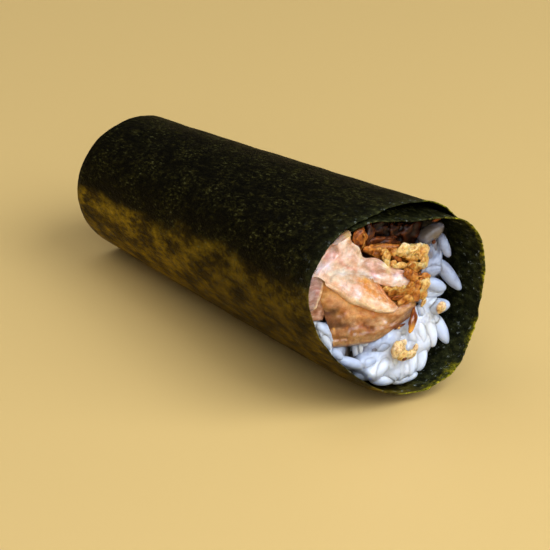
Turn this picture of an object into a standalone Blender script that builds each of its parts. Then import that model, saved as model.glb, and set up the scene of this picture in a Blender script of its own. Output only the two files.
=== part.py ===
"""Temaki hand roll, lying on its side with its mouth toward -Y and +Z up.

One sheet of nori is wound obliquely, about one and a third turns, into a slightly
conical tube. It holds rice, two slabs and a side strip of fish, and crisp fried
onion. Every filling runs from the mouth to the far end. The origin is at the
centre of the bottom of the roll's box, and the roll rests on a narrow strip
pressed flat under its own weight.

Run with: blender --background --python part.py
"""
import math

import bmesh
import bpy
from mathutils import Vector, noise

MM = 0.001

# The nori sheet: its short side lies along the roll.
SHEET_LENGTH = 105 * MM
SHEET_THICKNESS = 0.5 * MM
LAYER_PITCH = 0.85 * MM         # from one turn's outer face to the next one's
FAR_RADIUS = 16.4 * MM
MOUTH_RADIUS = 22.9 * MM
PRESSED_FLAT = 0.5 * MM         # how far the bottom is squashed by the table

# Angles round the roll, in degrees: 0 is +X, 90 is up, 180 is -X.
OUTER_END = 5                   # where the outer end of the sheet lies
WINDING = 475                   # from the outer end inwards
STEP_IN = (333, 356)            # where the sheet dives under its own outer end
SECOND_TURN = WINDING - 360     # how far the sheet lies double
DOUBLE_FADE = 16                # over this angle the room widens past the inner end

# Departure of the section from a circle, as shares of the radius.
OVAL, OVAL_AT = 0.026, -25
LOBES, LOBES_AT = 0.072, 37
FAR_SHARE = 0.25                # how much of it is left at the far end

# The mouth's rim: wound obliquely, leaning, curled in and drooping.
OBLIQUE = 5.5 * MM              # forward shift of the edge for each turn inwards
FAR_OBLIQUE = 2.75 * MM         # the same at the far end
MOUTH_EXTRA = 1.2 * MM
RIM_LEAN, RIM_LEAN_AT = 3.6 * MM, -78
CURL, CURL_AT, CURL_LENGTH = 2.2 * MM, -40, 7 * MM
DROOP, DROOP_AT, DROOP_WIDTH, DROOP_LENGTH = 2.3 * MM, 72, 38, 9 * MM
CORNER_BACK, CORNER_WIDTH = 5 * MM, 42      # the inner end's corner is rounded off

# Mesh density of the sheet.
SHEET_STEPS_ROUND = 66
SHEET_STEPS_ALONG = 12
MOUTH_CROWDING = 1.5            # above 1, the rows crowd toward the mouth

# The fillings.
CLEARANCE = 0.35 * MM           # between any filling and the sheet
STEP_SPARE = 4                  # the fillings keep this many degrees off the step inwards
FACE_Y = -49 * MM               # the plane in which the outlines below are drawn
FAR_FACE_Y = 49.5 * MM
FILLING_TWIST = 9               # degrees that the filling turns towards the far end
END_RIM = 0.6 * MM              # narrow sloping rim round a filling's cut end
END_RISE = 0.3 * MM

# Outlines in the plane of the mouth, in millimetres: x, and z above the table,
# going anticlockwise as the mouth is looked into.
FISH_UPPER = [
    (-11.3, 41.2), (-15.8, 39.0), (-19.2, 36.1), (-20.7, 33.9), (-17.5, 31.4), (-13.8, 28.6),
    (-9.8, 25.4), (-5.8, 22.4), (-1.4, 20.2), (1.1, 20.1), (1.4, 21.5), (-1.8, 23.6), (-4.6, 26.2),
    (-1.0, 26.2), (3.0, 24.9), (5.4, 24.9), (5.9, 26.3), (2.2, 28.0), (-0.6, 29.4), (-3.6, 31.8),
    (-7.2, 34.4), (-8.9, 37.6), (-9.9, 40.4)]
FISH_LOWER = [
    (-16.9, 30.2), (-18.2, 27.6), (-18.2, 24.6), (-17.6, 21.4), (-16.6, 18.0), (-15.6, 15.9),
    (-12.0, 14.6), (-8.0, 14.0), (-3.2, 14.4), (0.6, 15.2), (3.9, 16.6), (6.3, 18.4), (6.9, 20.0),
    (5.4, 21.4), (3.2, 21.1), (1.9, 19.1), (-1.7, 19.2), (-6.4, 21.3), (-10.6, 24.4), (-14.4, 27.4)]
FISH_SIDE = [
    (-20.9, 32.9), (-22.0, 30.8), (-22.4, 27.8), (-22.1, 25.2), (-20.6, 23.9), (-19.0, 24.4),
    (-19.0, 27.6), (-18.2, 30.2), (-19.0, 31.8)]
ONION_TOP = [
    (-7.6, 35.9), (-6.4, 35.0), (-3.0, 32.4), (0.0, 30.1), (2.8, 28.7), (6.2, 27.5), (8.8, 29.3),
    (9.3, 31.4), (7.9, 33.4), (4.7, 34.5), (1.5, 35.4), (-2.0, 36.7), (-6.2, 36.9)]
ONION_FRONT = [
    (5.9, 24.2), (3.3, 23.9), (2.3, 22.9), (3.2, 22.2), (5.4, 22.3), (7.4, 21.4), (8.5, 20.6),
    (9.7, 22.6), (9.9, 25.6), (8.8, 27.4), (7.2, 27.1), (6.5, 25.6)]
ONION_INNER = [
    (-9.0, 41.3), (-7.9, 38.4), (-6.0, 37.7), (-1.8, 37.6), (1.8, 37.0), (4.6, 38.4), (7.4, 40.6),
    (4.6, 41.6), (0.0, 42.1), (-4.6, 42.1)]

# The rice band: the angle of a point against the sheet, and the x and z of the
# point facing it across the band, from the left of the mouth round to the top.
RICE_BAND = [
    (181, -19.3, 22.4), (190, -18.8, 19.6), (201, -17.8, 16.8), (214, -16.4, 14.9), (228, -12.3, 13.8),
    (243, -8.0, 13.2), (258, -3.0, 13.6), (272, 1.0, 14.4), (287, 4.6, 15.8), (303, 7.6, 17.6),
    (320, 9.2, 19.2), (337, 10.6, 21.8), (353, 10.8, 25.2), (368, 10.0, 28.4), (380, 10.2, 31.4),
    (392, 9.1, 34.3), (405, 6.0, 35.2), (420, 3.2, 36.4)]
RICE_STEPS = (36, 5, 12)        # round the band, across it, along the roll
RICE_LUMP = 1.2 * MM
RICE_LUMP_PERIOD = 3.6 * MM
RICE_SET_BACK = 1.2 * MM        # behind the face, at the mouth
RICE_FAR_SET_BACK = 0.8 * MM
RICE_LEAN = 0.05                # the rice lies further back towards the right
MOUTH_NOISE, FAR_NOISE = 3.7, 9.2       # where in the noise each end of the rice lies

STRIP_NOISE = (0.9, 0.8)        # how fast a strip's lumps change round it and along it
SHARP_ANGLE = 40                # degrees, past which an edge is shaded as a crease

COLLECTION = "temaki_hand_roll"


def clamp(value, low=0.0, high=1.0):
    return max(low, min(high, value))


def ease(value, start, end):
    """0 before start, 1 after end, and smooth between."""
    t = clamp((value - start) / (end - start))
    return t * t * (3 - 2 * t)


def wave(angle, centre, lobes=1):
    return math.cos(math.radians(lobes * (angle - centre)))


def station_at(y):
    """0 at the nominal far end of the sheet, 1 at the nominal mouth."""
    return (SHEET_LENGTH / 2 - y) / SHEET_LENGTH


def outline_radius(angle, y):
    """Radius of the roll's outer face before curling and layering."""
    station = station_at(y)
    mean = FAR_RADIUS + (MOUTH_RADIUS - FAR_RADIUS) * station
    share = FAR_SHARE + (1 - FAR_SHARE) * clamp(station) ** 1.5
    return mean * (1 + share * (OVAL * wave(angle, OVAL_AT, 2) + LOBES * wave(angle, LOBES_AT, 3)))


def centre_height(y):
    return outline_radius(-90, y) - PRESSED_FLAT


def mouth_edge(wound):
    """Y of the sheet's mouth edge after winding this many degrees inwards."""
    bottom = 270 - OUTER_END
    forward = OBLIQUE * (wound - bottom) / 360 + RIM_LEAN * wave(OUTER_END + wound, RIM_LEAN_AT)
    forward -= CORNER_BACK * ease(wound, WINDING - CORNER_WIDTH, WINDING)
    return -(SHEET_LENGTH / 2 + MOUTH_EXTRA + forward)


def far_edge(wound):
    left = 180 + OUTER_END
    return SHEET_LENGTH / 2 - FAR_OBLIQUE * (wound - left) / 360


def rim_edge(angle):
    """Y of the mouth edge of the innermost turn at this angle."""
    wound = (angle - OUTER_END) % 360
    return mouth_edge(wound + 360 * (1 - ease(wound, SECOND_TURN, SECOND_TURN + DOUBLE_FADE)))


def curl_in(angle, y):
    """How far both turns are curled inwards at this place."""
    reach = math.exp((rim_edge(angle) - y) / CURL_LENGTH)
    return CURL * (0.5 + 0.5 * wave(angle, CURL_AT)) * reach


def droop_in(angle, y):
    """How far the inner turn hangs away from the outer one over the mouth."""
    off = (angle % 360 - DROOP_AT) / DROOP_WIDTH
    if abs(off) >= 1:
        return 0.0
    return DROOP * (1 - off * off) ** 2 * math.exp((rim_edge(angle) - y) / DROOP_LENGTH)


def on_roll(radius, angle, y):
    """A point at this radius and angle about the roll's axis."""
    height = centre_height(y) + radius * math.sin(math.radians(angle))
    return Vector((radius * math.cos(math.radians(angle)), y, height))


def sheet_point(wound, along):
    """Outer face of the sheet: degrees wound inwards, and 0 far edge to 1 mouth edge."""
    angle = OUTER_END + wound
    y = far_edge(wound) + (mouth_edge(wound) - far_edge(wound)) * along
    under = ease(wound, *STEP_IN)
    radius = outline_radius(angle, y) - curl_in(angle, y) - under * LAYER_PITCH
    if wound > STEP_IN[1]:
        radius -= droop_in(angle, y)
    point = on_roll(radius, angle, y)
    point.z = max(point.z, 0.0)
    return point


def room_radius(angle, y):
    """Radius of the room left for the fillings."""
    wound = (angle - OUTER_END) % 360
    leaving = 1 - ease(wound, SECOND_TURN + STEP_SPARE / 2, SECOND_TURN + DOUBLE_FADE)
    entering = ease(wound, STEP_IN[0] - STEP_SPARE, STEP_IN[1] - STEP_SPARE)
    radius = outline_radius(angle, y) - curl_in(angle, y) - droop_in(angle, y)
    return radius - max(leaving, entering) * LAYER_PITCH - SHEET_THICKNESS - CLEARANCE


def place(x, z, y):
    """Carry a point drawn in the plane of the mouth to its place at y along the roll."""
    across = x
    up = z - centre_height(FACE_Y)
    angle = math.degrees(math.atan2(up, across))
    share = min(math.hypot(across, up) / room_radius(angle, FACE_Y), 1.0)
    turned = angle + FILLING_TWIST * ease(y, FACE_Y, FAR_FACE_Y)
    point = on_roll(share * room_radius(turned, y), turned, y)
    point.z = max(point.z, SHEET_THICKNESS + CLEARANCE)
    return point


def smooth_loop(points, count):
    """Closed smooth curve through the points, sampled count times."""
    total = len(points)
    loop = []
    for step in range(count):
        position = step * total / count
        index = int(position)
        t = position - index
        p0, p1, p2, p3 = (Vector(points[(index + k) % total]) for k in (-1, 0, 1, 2))
        bend = (2 * p0 - 5 * p1 + 4 * p2 - p3) * t + (3 * (p1 - p2) + p3 - p0) * t * t
        loop.append(p1 + 0.5 * t * ((p2 - p0) + bend))
    return loop


def polyline_at(rows, t):
    """The row at t, 0 to 1, along a list of rows."""
    position = t * (len(rows) - 1)
    index = min(int(position), len(rows) - 2)
    part = position - index
    return [a + (b - a) * part for a, b in zip(rows[index], rows[index + 1])]


def cut_along(bm, axis, steps):
    """Divide every edge that runs along the axis into equal steps."""
    edges = []
    for edge in bm.edges:
        run = edge.verts[1].co - edge.verts[0].co
        if abs(run[axis]) > 0.99 * run.length:
            edges.append(edge)
    bmesh.ops.subdivide_edges(bm, edges=edges, cuts=steps - 1, use_grid_fill=True)


def material(name, colour, roughness):
    mat = bpy.data.materials.new(name)
    mat.use_nodes = True
    shader = mat.node_tree.nodes["Principled BSDF"]
    shader.inputs["Base Color"].default_value = (*colour, 1.0)
    shader.inputs["Roughness"].default_value = roughness
    shader.inputs["Metallic"].default_value = 0.0
    return mat


def finish(name, bm, mat, collection):
    """Turn a bmesh into a named, smooth-shaded object of the model."""
    mesh = bpy.data.meshes.new(name)
    bm.to_mesh(mesh)
    bm.free()
    mesh.shade_smooth()
    mesh.set_sharp_from_angle(angle=math.radians(SHARP_ANGLE))
    mesh.materials.append(mat)
    obj = bpy.data.objects.new(name, mesh)
    collection.objects.link(obj)
    return obj


def add_nori(collection):
    bm = bmesh.new()
    bmesh.ops.create_grid(bm, x_segments=SHEET_STEPS_ROUND, y_segments=SHEET_STEPS_ALONG, size=0.5)
    for vert in bm.verts:
        along = 1 - (0.5 - vert.co.y) ** MOUTH_CROWDING
        vert.co = sheet_point((vert.co.x + 0.5) * WINDING, along)
    mat = material("toasted_nori", (0.012, 0.018, 0.008), 0.42)
    obj = finish("nori_wrap", bm, mat, collection)
    shell = obj.modifiers.new("Thickness", "SOLIDIFY")
    shell.thickness = SHEET_THICKNESS
    shell.offset = -1
    shell.use_even_offset = True
    return obj


def rice_section(round_band, across):
    """A point of the rice in the plane of the mouth, in metres."""
    angle, x, z = polyline_at(RICE_BAND, round_band)
    outer = on_roll(room_radius(angle, FACE_Y), angle, FACE_Y)
    return outer.x + (x * MM - outer.x) * across, outer.z + (z * MM - outer.z) * across


def rice_end(x, z, front):
    """Y of the uneven end of the rice, at the mouth or at the far end."""
    period = RICE_LUMP_PERIOD
    layer = MOUTH_NOISE if front else FAR_NOISE
    lump = RICE_LUMP * noise.noise(Vector((x / period, z / period, layer)))
    if front:
        return FACE_Y + RICE_SET_BACK + RICE_LEAN * x - lump
    return FAR_FACE_Y - RICE_FAR_SET_BACK + lump


def add_rice(collection):
    bm = bmesh.new()
    bmesh.ops.create_cube(bm, size=1)
    for axis, steps in enumerate(RICE_STEPS):
        cut_along(bm, axis, steps)
    for vert in bm.verts:
        round_band, across, along = (c + 0.5 for c in vert.co)
        x, z = rice_section(round_band, across)
        far_y, near_y = rice_end(x, z, False), rice_end(x, z, True)
        vert.co = place(x, z, far_y + (near_y - far_y) * along)
    return finish("rice", bm, material("sushi_rice", (0.78, 0.80, 0.82), 0.35), collection)


def add_strip(name, outline, mat, collection, front, lean=(0.0, 0.0), sides=24, steps=11, lumps=0.0):
    """A filling that runs the length of the roll, drawn by its outline at the mouth.

    front is how far it stands forward of the face, lean is the slope of that end
    along x and z, and lumps is how much narrower it gets in places.
    """
    loop = smooth_loop([(x * MM, z * MM) for x, z in outline], sides)
    middle = sum(loop, Vector((0.0, 0.0))) / sides
    bm = bmesh.new()
    bmesh.ops.create_cone(bm, cap_ends=True, segments=sides, radius1=1, radius2=1, depth=1)
    cut_along(bm, 2, steps)
    for vert in bm.verts:
        index = round(math.atan2(vert.co.y, vert.co.x) / math.tau * sides) % sides
        along = vert.co.z + 0.5
        off = loop[index] - middle
        near_y = FACE_Y - front + lean[0] * off.x + lean[1] * off.y
        y = FAR_FACE_Y + (near_y - FAR_FACE_Y) * along
        place_in_noise = Vector((index * STRIP_NOISE[0], along * steps * STRIP_NOISE[1], len(name)))
        size = 1 - lumps * (0.5 + 0.5 * noise.noise(place_in_noise))
        x, z = middle + off * size
        vert.co = place(x, z, y)
    caps = [face for face in bm.faces if len(face.verts) == sides]
    bmesh.ops.inset_region(bm, faces=caps, thickness=END_RIM, depth=END_RISE)
    return finish(name, bm, mat, collection)


def centre_on_origin(objects):
    """Move every mesh so that the middle of the sheet's box is at x = 0 and y = 0."""
    sheet = bpy.data.objects["nori_wrap"].data
    for axis in (0, 1):
        values = [vert.co[axis] for vert in sheet.vertices]
        shift = (min(values) + max(values)) / 2
        for obj in objects:
            for vert in obj.data.vertices:
                vert.co[axis] -= shift


def main():
    for obj in list(bpy.data.objects):
        bpy.data.objects.remove(obj, do_unlink=True)
    collection = bpy.data.collections.new(COLLECTION)
    bpy.context.scene.collection.children.link(collection)

    pink = material("fatty_fish", (0.80, 0.55, 0.46), 0.3)
    tan = material("seared_fish", (0.66, 0.38, 0.20), 0.35)
    mauve = material("fish_edge", (0.60, 0.42, 0.40), 0.3)
    golden = material("fried_onion", (0.60, 0.33, 0.09), 0.5)
    brown = material("dark_fried_onion", (0.22, 0.09, 0.03), 0.5)

    objects = [add_nori(collection), add_rice(collection)]
    objects += [
        add_strip("fish_upper", FISH_UPPER, pink, collection, 0.6 * MM, lean=(0.01, 0.18), sides=34),
        add_strip("fish_lower", FISH_LOWER, tan, collection, 1.2 * MM, lean=(0.04, 0.0), sides=28),
        add_strip("fish_side", FISH_SIDE, mauve, collection, 1.0 * MM, sides=14, steps=9),
        add_strip("fried_onion_top", ONION_TOP, golden, collection, 1.4 * MM, sides=20, lumps=0.24),
        add_strip("fried_onion_front", ONION_FRONT, golden, collection, 1.4 * MM, sides=18, lumps=0.2),
        add_strip("fried_onion_inner", ONION_INNER, brown, collection, -6 * MM, sides=16, lumps=0.2)]
    centre_on_origin(objects)


main()
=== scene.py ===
"""Looks of the temaki hand roll: toasted nori, cooked rice, fish and fried onion.

The roll lies along Y with its mouth toward -Y. Every piece is worked out in metres
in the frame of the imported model. What fills the mouth is drawn on the mouth's face
as someone sees it who looks in from the front left and a little from above.
"""

import math
import random

import bmesh
import bpy
from mathutils import Matrix, Vector, noise


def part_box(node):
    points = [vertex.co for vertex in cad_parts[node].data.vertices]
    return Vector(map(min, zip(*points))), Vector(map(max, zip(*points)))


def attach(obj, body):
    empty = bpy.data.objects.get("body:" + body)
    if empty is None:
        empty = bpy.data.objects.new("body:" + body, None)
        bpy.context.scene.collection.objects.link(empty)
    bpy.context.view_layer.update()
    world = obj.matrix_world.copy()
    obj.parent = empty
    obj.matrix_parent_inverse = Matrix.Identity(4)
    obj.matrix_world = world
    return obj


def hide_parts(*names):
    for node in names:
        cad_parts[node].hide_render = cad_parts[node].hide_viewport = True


MM = 0.001

# The wound sheet, with the sizes that its solid has.
SHEET_LENGTH = 105 * MM
LAYER_PITCH = 0.85 * MM
FAR_RADIUS = 16.4 * MM
MOUTH_RADIUS = 22.9 * MM
PRESSED_FLAT = 0.5 * MM
OUTER_END = 5
WINDING = 475
STEP_IN = (333, 356)
SECOND_TURN = WINDING - 360
DOUBLE_FADE = 16
OVAL, OVAL_AT = 0.026, -25
LOBES, LOBES_AT = 0.072, 37
FAR_SHARE = 0.25
OBLIQUE = 5.5 * MM
FAR_OBLIQUE = 2.75 * MM
MOUTH_EXTRA = 1.2 * MM
RIM_LEAN, RIM_LEAN_AT = 3.6 * MM, -78
CURL, CURL_AT, CURL_LENGTH = 2.2 * MM, -40, 7 * MM
DROOP, DROOP_AT, DROOP_WIDTH, DROOP_LENGTH = 2.3 * MM, 72, 38, 9 * MM
CORNER_BACK, CORNER_WIDTH = 5 * MM, 42
FACE_Y = -49 * MM
FAR_FACE_Y = 49.5 * MM
FILLING_TWIST = 9

NORI_THICKNESS = 0.26 * MM      # a toasted sheet is 0.2 to 0.3 mm thick
ROOM_SPARE = 0.75 * MM          # from the sheet's outer face to the filling

# The view: turned from the roll's axis, down from level, and rolled, in degrees.
VIEW_TURN = 35.63
VIEW_DOWN = 24.47
VIEW_ROLL = -0.12
VIEW_DISTANCE = 0.9192
VIEW_AIM = (2.91 * MM, -8.76 * MM)      # right and up from the aim point
AIM_HEIGHT = 20 * MM
LENS = 261.8
SENSOR = 36

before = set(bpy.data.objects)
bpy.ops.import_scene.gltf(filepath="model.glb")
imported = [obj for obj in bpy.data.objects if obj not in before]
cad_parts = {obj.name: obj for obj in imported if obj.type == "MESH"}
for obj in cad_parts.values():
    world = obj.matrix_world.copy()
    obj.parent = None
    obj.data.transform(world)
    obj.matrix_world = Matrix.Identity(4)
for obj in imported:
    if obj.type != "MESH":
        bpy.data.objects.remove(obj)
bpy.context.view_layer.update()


# ---------------------------------------------------------------- plain helpers

def clamp(value, low=0.0, high=1.0):
    return max(low, min(high, value))


def ease(value, start, end):
    """0 before start, 1 after end, and smooth between."""
    t = clamp((value - start) / (end - start))
    return t * t * (3 - 2 * t)


def wave(angle, centre, lobes=1):
    return math.cos(math.radians(lobes * (angle - centre)))


def rough(x, y, z, period):
    """Smooth noise, -1 to 1, with lumps of about this period."""
    return noise.noise(Vector((x, y, z)) / period)


def linear(hex_code):
    """An sRGB hex colour as linear red, green, blue and alpha."""
    channels = []
    for start in (1, 3, 5):
        value = int(hex_code[start:start + 2], 16) / 255
        channels.append(value / 12.92 if value <= 0.04045 else ((value + 0.055) / 1.055) ** 2.4)
    return (*channels, 1.0)


# ------------------------------------------------------------ shape of the roll

def station_at(y):
    return (SHEET_LENGTH / 2 - y) / SHEET_LENGTH


def outline_radius(angle, y):
    station = station_at(y)
    mean = FAR_RADIUS + (MOUTH_RADIUS - FAR_RADIUS) * station
    share = FAR_SHARE + (1 - FAR_SHARE) * clamp(station) ** 1.5
    return mean * (1 + share * (OVAL * wave(angle, OVAL_AT, 2) + LOBES * wave(angle, LOBES_AT, 3)))


def centre_height(y):
    return outline_radius(-90, y) - PRESSED_FLAT


def mouth_edge(wound):
    """Y of the sheet's mouth edge after winding this many degrees inwards."""
    bottom = 270 - OUTER_END
    forward = OBLIQUE * (wound - bottom) / 360 + RIM_LEAN * wave(OUTER_END + wound, RIM_LEAN_AT)
    forward -= CORNER_BACK * ease(wound, WINDING - CORNER_WIDTH, WINDING)
    return -(SHEET_LENGTH / 2 + MOUTH_EXTRA + forward)


def far_edge(wound):
    left = 180 + OUTER_END
    return SHEET_LENGTH / 2 - FAR_OBLIQUE * (wound - left) / 360


def rim_edge(angle):
    """Y of the mouth edge of the innermost turn at this angle."""
    wound = (angle - OUTER_END) % 360
    return mouth_edge(wound + 360 * (1 - ease(wound, SECOND_TURN, SECOND_TURN + DOUBLE_FADE)))


def curl_in(angle, y):
    return CURL * (0.5 + 0.5 * wave(angle, CURL_AT)) * math.exp((rim_edge(angle) - y) / CURL_LENGTH)


def droop_in(angle, y):
    off = (angle % 360 - DROOP_AT) / DROOP_WIDTH
    if abs(off) >= 1:
        return 0.0
    return DROOP * (1 - off * off) ** 2 * math.exp((rim_edge(angle) - y) / DROOP_LENGTH)


# How far the lip stands out (in millimetres) after so many degrees of winding.
LIP_SET = [(0, 0), (35, 0.3), (55, 0.7), (80, 0.3), (110, 0), (225, 0), (245, -0.9), (262, -1.5),
           (278, -0.9), (295, 0), (345, 0), (365, 0.8), (385, 1.1), (440, 1.0), (455, 0.3), (475, 0)]
LIP_LENGTH = 4 * MM


def lip_out(wound, y):
    for (before, low), (after, high) in zip(LIP_SET, LIP_SET[1:]):
        if before <= wound <= after:
            reach = low + (high - low) * ease(wound, before, after)
            return reach * MM * math.exp((mouth_edge(wound) - y) / LIP_LENGTH)
    return 0.0


def about_axis(radius, angle, y):
    """A point about the roll's axis, before the roll is centred on the frame."""
    height = centre_height(y) + radius * math.sin(math.radians(angle))
    return Vector((radius * math.cos(math.radians(angle)), y, height))


def sheet_radius(wound, y):
    angle = OUTER_END + wound
    radius = outline_radius(angle, y) - curl_in(angle, y)
    radius -= ease(wound, *STEP_IN) * LAYER_PITCH
    if wound > STEP_IN[1]:
        radius -= droop_in(angle, y)
    return radius


def centring():
    """How far the wound sheet is moved so that its box is the nori node's box."""
    low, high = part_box("nori_wrap")
    corners = []
    for step in range(WINDING + 1):
        for y in (far_edge(step), mouth_edge(step)):
            corners.append(about_axis(sheet_radius(step, y), OUTER_END + step, y))
    shift = Vector()
    for axis in (0, 1):
        values = [corner[axis] for corner in corners]
        shift[axis] = (low[axis] + high[axis] - min(values) - max(values)) / 2
    return shift


CENTRING = centring()


def room_radius(angle, y):
    """Radius of the room left for the fillings."""
    wound = (angle - OUTER_END) % 360
    leaving = 1 - ease(wound, SECOND_TURN, SECOND_TURN + DOUBLE_FADE)
    entering = ease(wound, STEP_IN[0] - 4, STEP_IN[1] - 4)
    radius = outline_radius(angle, y) - curl_in(angle, y) - droop_in(angle, y)
    return radius - max(leaving, entering) * LAYER_PITCH - ROOM_SPARE


def polar(x, z, y):
    """Radius and angle about the roll's axis of a point of the section at y."""
    up = z - centre_height(y)
    return math.hypot(x, up), math.degrees(math.atan2(up, x))


def kept_in(point, spare=0.0):
    """The point, pulled in to the room inside the sheet where it lies outside it."""
    radius, angle = polar(point.x, point.z, point.y)
    limit = room_radius(angle, point.y) - spare
    if radius <= limit:
        return point
    return about_axis(limit, angle, point.y)


# Someone looking in from the front left sees a thing that stands forward of the
# face displaced by this much to the side and down, for each unit forward.
SIGHT = Vector((math.sin(math.radians(VIEW_TURN)) * math.cos(math.radians(VIEW_DOWN)),
                math.cos(math.radians(VIEW_TURN)) * math.cos(math.radians(VIEW_DOWN)),
                -math.sin(math.radians(VIEW_DOWN))))


def behind(x, z, y):
    """The point at depth y that covers the place (x, z) drawn on the mouth's face."""
    reach = clamp(y - FACE_Y, -5 * MM, 5 * MM) * (1 - ease(y, FACE_Y + 5 * MM, FACE_Y + 14 * MM))
    return Vector((x + reach * SIGHT.x / SIGHT.y, y, z + reach * SIGHT.z / SIGHT.y))


def along_roll(x, z, y):
    """Carry a point of the mouth's face back to y, as the cone narrows."""
    if y <= FACE_Y:
        return Vector((x, y, z))
    radius, angle = polar(x, z, FACE_Y)
    share = radius / room_radius(angle, FACE_Y)
    turned = angle + FILLING_TWIST * ease(y, FACE_Y, FAR_FACE_Y)
    return about_axis(share * room_radius(turned, y), turned, y)


# --------------------------------------------------------------- mesh helpers

def cut_along(bm, axis, steps):
    """Divide every edge that runs along the axis into equal steps."""
    edges = []
    for edge in bm.edges:
        run = edge.verts[1].co - edge.verts[0].co
        if abs(run[axis]) > 0.99 * run.length:
            edges.append(edge)
    bmesh.ops.subdivide_edges(bm, edges=edges, cuts=steps - 1, use_grid_fill=True)


def lattice(steps):
    """A box from -1 to 1 with its faces cut into a grid."""
    bm = bmesh.new()
    bmesh.ops.create_cube(bm, size=2)
    for axis, count in enumerate(steps):
        cut_along(bm, axis, count)
    return bm


def placed(name, bm, mat):
    """An object of a bmesh, linked to the scene."""
    mesh = bpy.data.meshes.new(name)
    bm.to_mesh(mesh)
    bm.free()
    mesh.materials.append(mat)
    obj = bpy.data.objects.new(name, mesh)
    bpy.context.scene.collection.objects.link(obj)
    return obj


def piece(name, bm, mat, node=None):
    """Make a bmesh a piece that rides on the roll, in place of a node or beside it."""
    obj = placed(name, bm, mat)
    obj.data.shade_smooth()
    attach(obj, "root")
    if node:
        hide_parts(node)
    return obj


def pour(source, target):
    """Add one bmesh to another and free it."""
    mesh = bpy.data.meshes.new("poured")
    source.to_mesh(mesh)
    source.free()
    target.from_mesh(mesh)
    bpy.data.meshes.remove(mesh)


def curve_at(points, t):
    """The point at t, 0 to 1, of a smooth open curve through the points."""
    position = clamp(t) * (len(points) - 1)
    index = min(int(position), len(points) - 2)
    part = position - index
    last = len(points) - 1
    p0, p1, p2, p3 = (Vector(points[min(max(index + k, 0), last)]) for k in (-1, 0, 1, 2))
    bend = (2 * p0 - 5 * p1 + 4 * p2 - p3) * part + (3 * (p1 - p2) + p3 - p0) * part * part
    return p1 + 0.5 * part * ((p2 - p0) + bend)


def distance_to(x, z, line):
    """Distance of a point of the face from a line of points, all in millimetres."""
    distances = []
    for (ax, az), (bx, bz) in zip(line, line[1:]):
        run_x, run_z = bx - ax, bz - az
        t = clamp(((x - ax) * run_x + (z - az) * run_z) / (run_x * run_x + run_z * run_z))
        distances.append(math.hypot(x - ax - t * run_x, z - az - t * run_z))
    return min(distances)


def nearness(x, z, line, width):
    """1 on a line of the face, and softly down to 0 beyond its width."""
    return math.exp(-(distance_to(x, z, line) / width) ** 2)


def in_mouth(x, z, forward, spare):
    """The place in the roll of a point drawn on the mouth's face, all in millimetres,
    kept this far inside the sheet."""
    return kept_in(behind(x * MM, z * MM, FACE_Y - forward * MM), spare * MM) + CENTRING


def map_surface(bm, name, flat):
    """Give a bmesh the UV map that says where each vertex lies on its flat surface."""
    uv = bm.loops.layers.uv.new(name)
    for face in bm.faces:
        for loop in face.loops:
            loop[uv].uv = flat[loop.vert]


# ---------------------------------------------------------------- node helpers

def plug(tree, node, inputs):
    """Set a node's inputs to values, or link them from another node's output."""
    for key, value in inputs.items():
        if isinstance(value, bpy.types.NodeSocket):
            tree.links.new(value, node.inputs[key])
        else:
            node.inputs[key].default_value = value


def add_node(tree, kind, settings=None, inputs=None, output=None):
    """Add a shader node with its settings ("stops" for a ramp's colours) and its
    inputs, and give its output: the named one, or its first."""
    made = tree.nodes.new("ShaderNode" + kind)
    for key, value in (settings or {}).items():
        if key == "stops":
            ramp = made.color_ramp
            while len(ramp.elements) < len(value):
                ramp.elements.new(0.5)
            for element, (position, colour) in zip(ramp.elements, value):
                element.position = position
                element.color = linear(colour)
        else:
            setattr(made, key, value)
    plug(tree, made, inputs or {})
    if output:
        return made.outputs[output]
    return next(socket for socket in made.outputs if socket.enabled)


def new_material(name, patterns=()):
    """A material, its tree, its shader and its patterns. A pattern is lumps of a real
    size: the UV map it follows (or None to follow the piece's own place), the size,
    how much longer a lump is along each axis, its turn in degrees, and how many finer
    lumps it carries and how strong they are."""
    mat = bpy.data.materials.new(name)
    mat.use_nodes = True
    tree = mat.node_tree
    drawn = []
    for uv_map, size, stretch, turn, detail, strength in patterns:
        if uv_map:
            place = add_node(tree, "UVMap", {"uv_map": uv_map})
        else:
            place = add_node(tree, "TexCoord", output="Object")
        scaled = add_node(tree, "Mapping", {}, {
            "Vector": place, "Rotation": (0, 0, math.radians(turn)),
            "Scale": [1 / (size * longer) for longer in stretch]})
        drawn.append(add_node(tree, "TexNoise", {}, {
            "Vector": scaled, "Scale": 1.0, "Detail": detail, "Roughness": strength}))
    return mat, tree, tree.nodes["Principled BSDF"], drawn


# ------------------------------------------------------------------- materials

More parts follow.
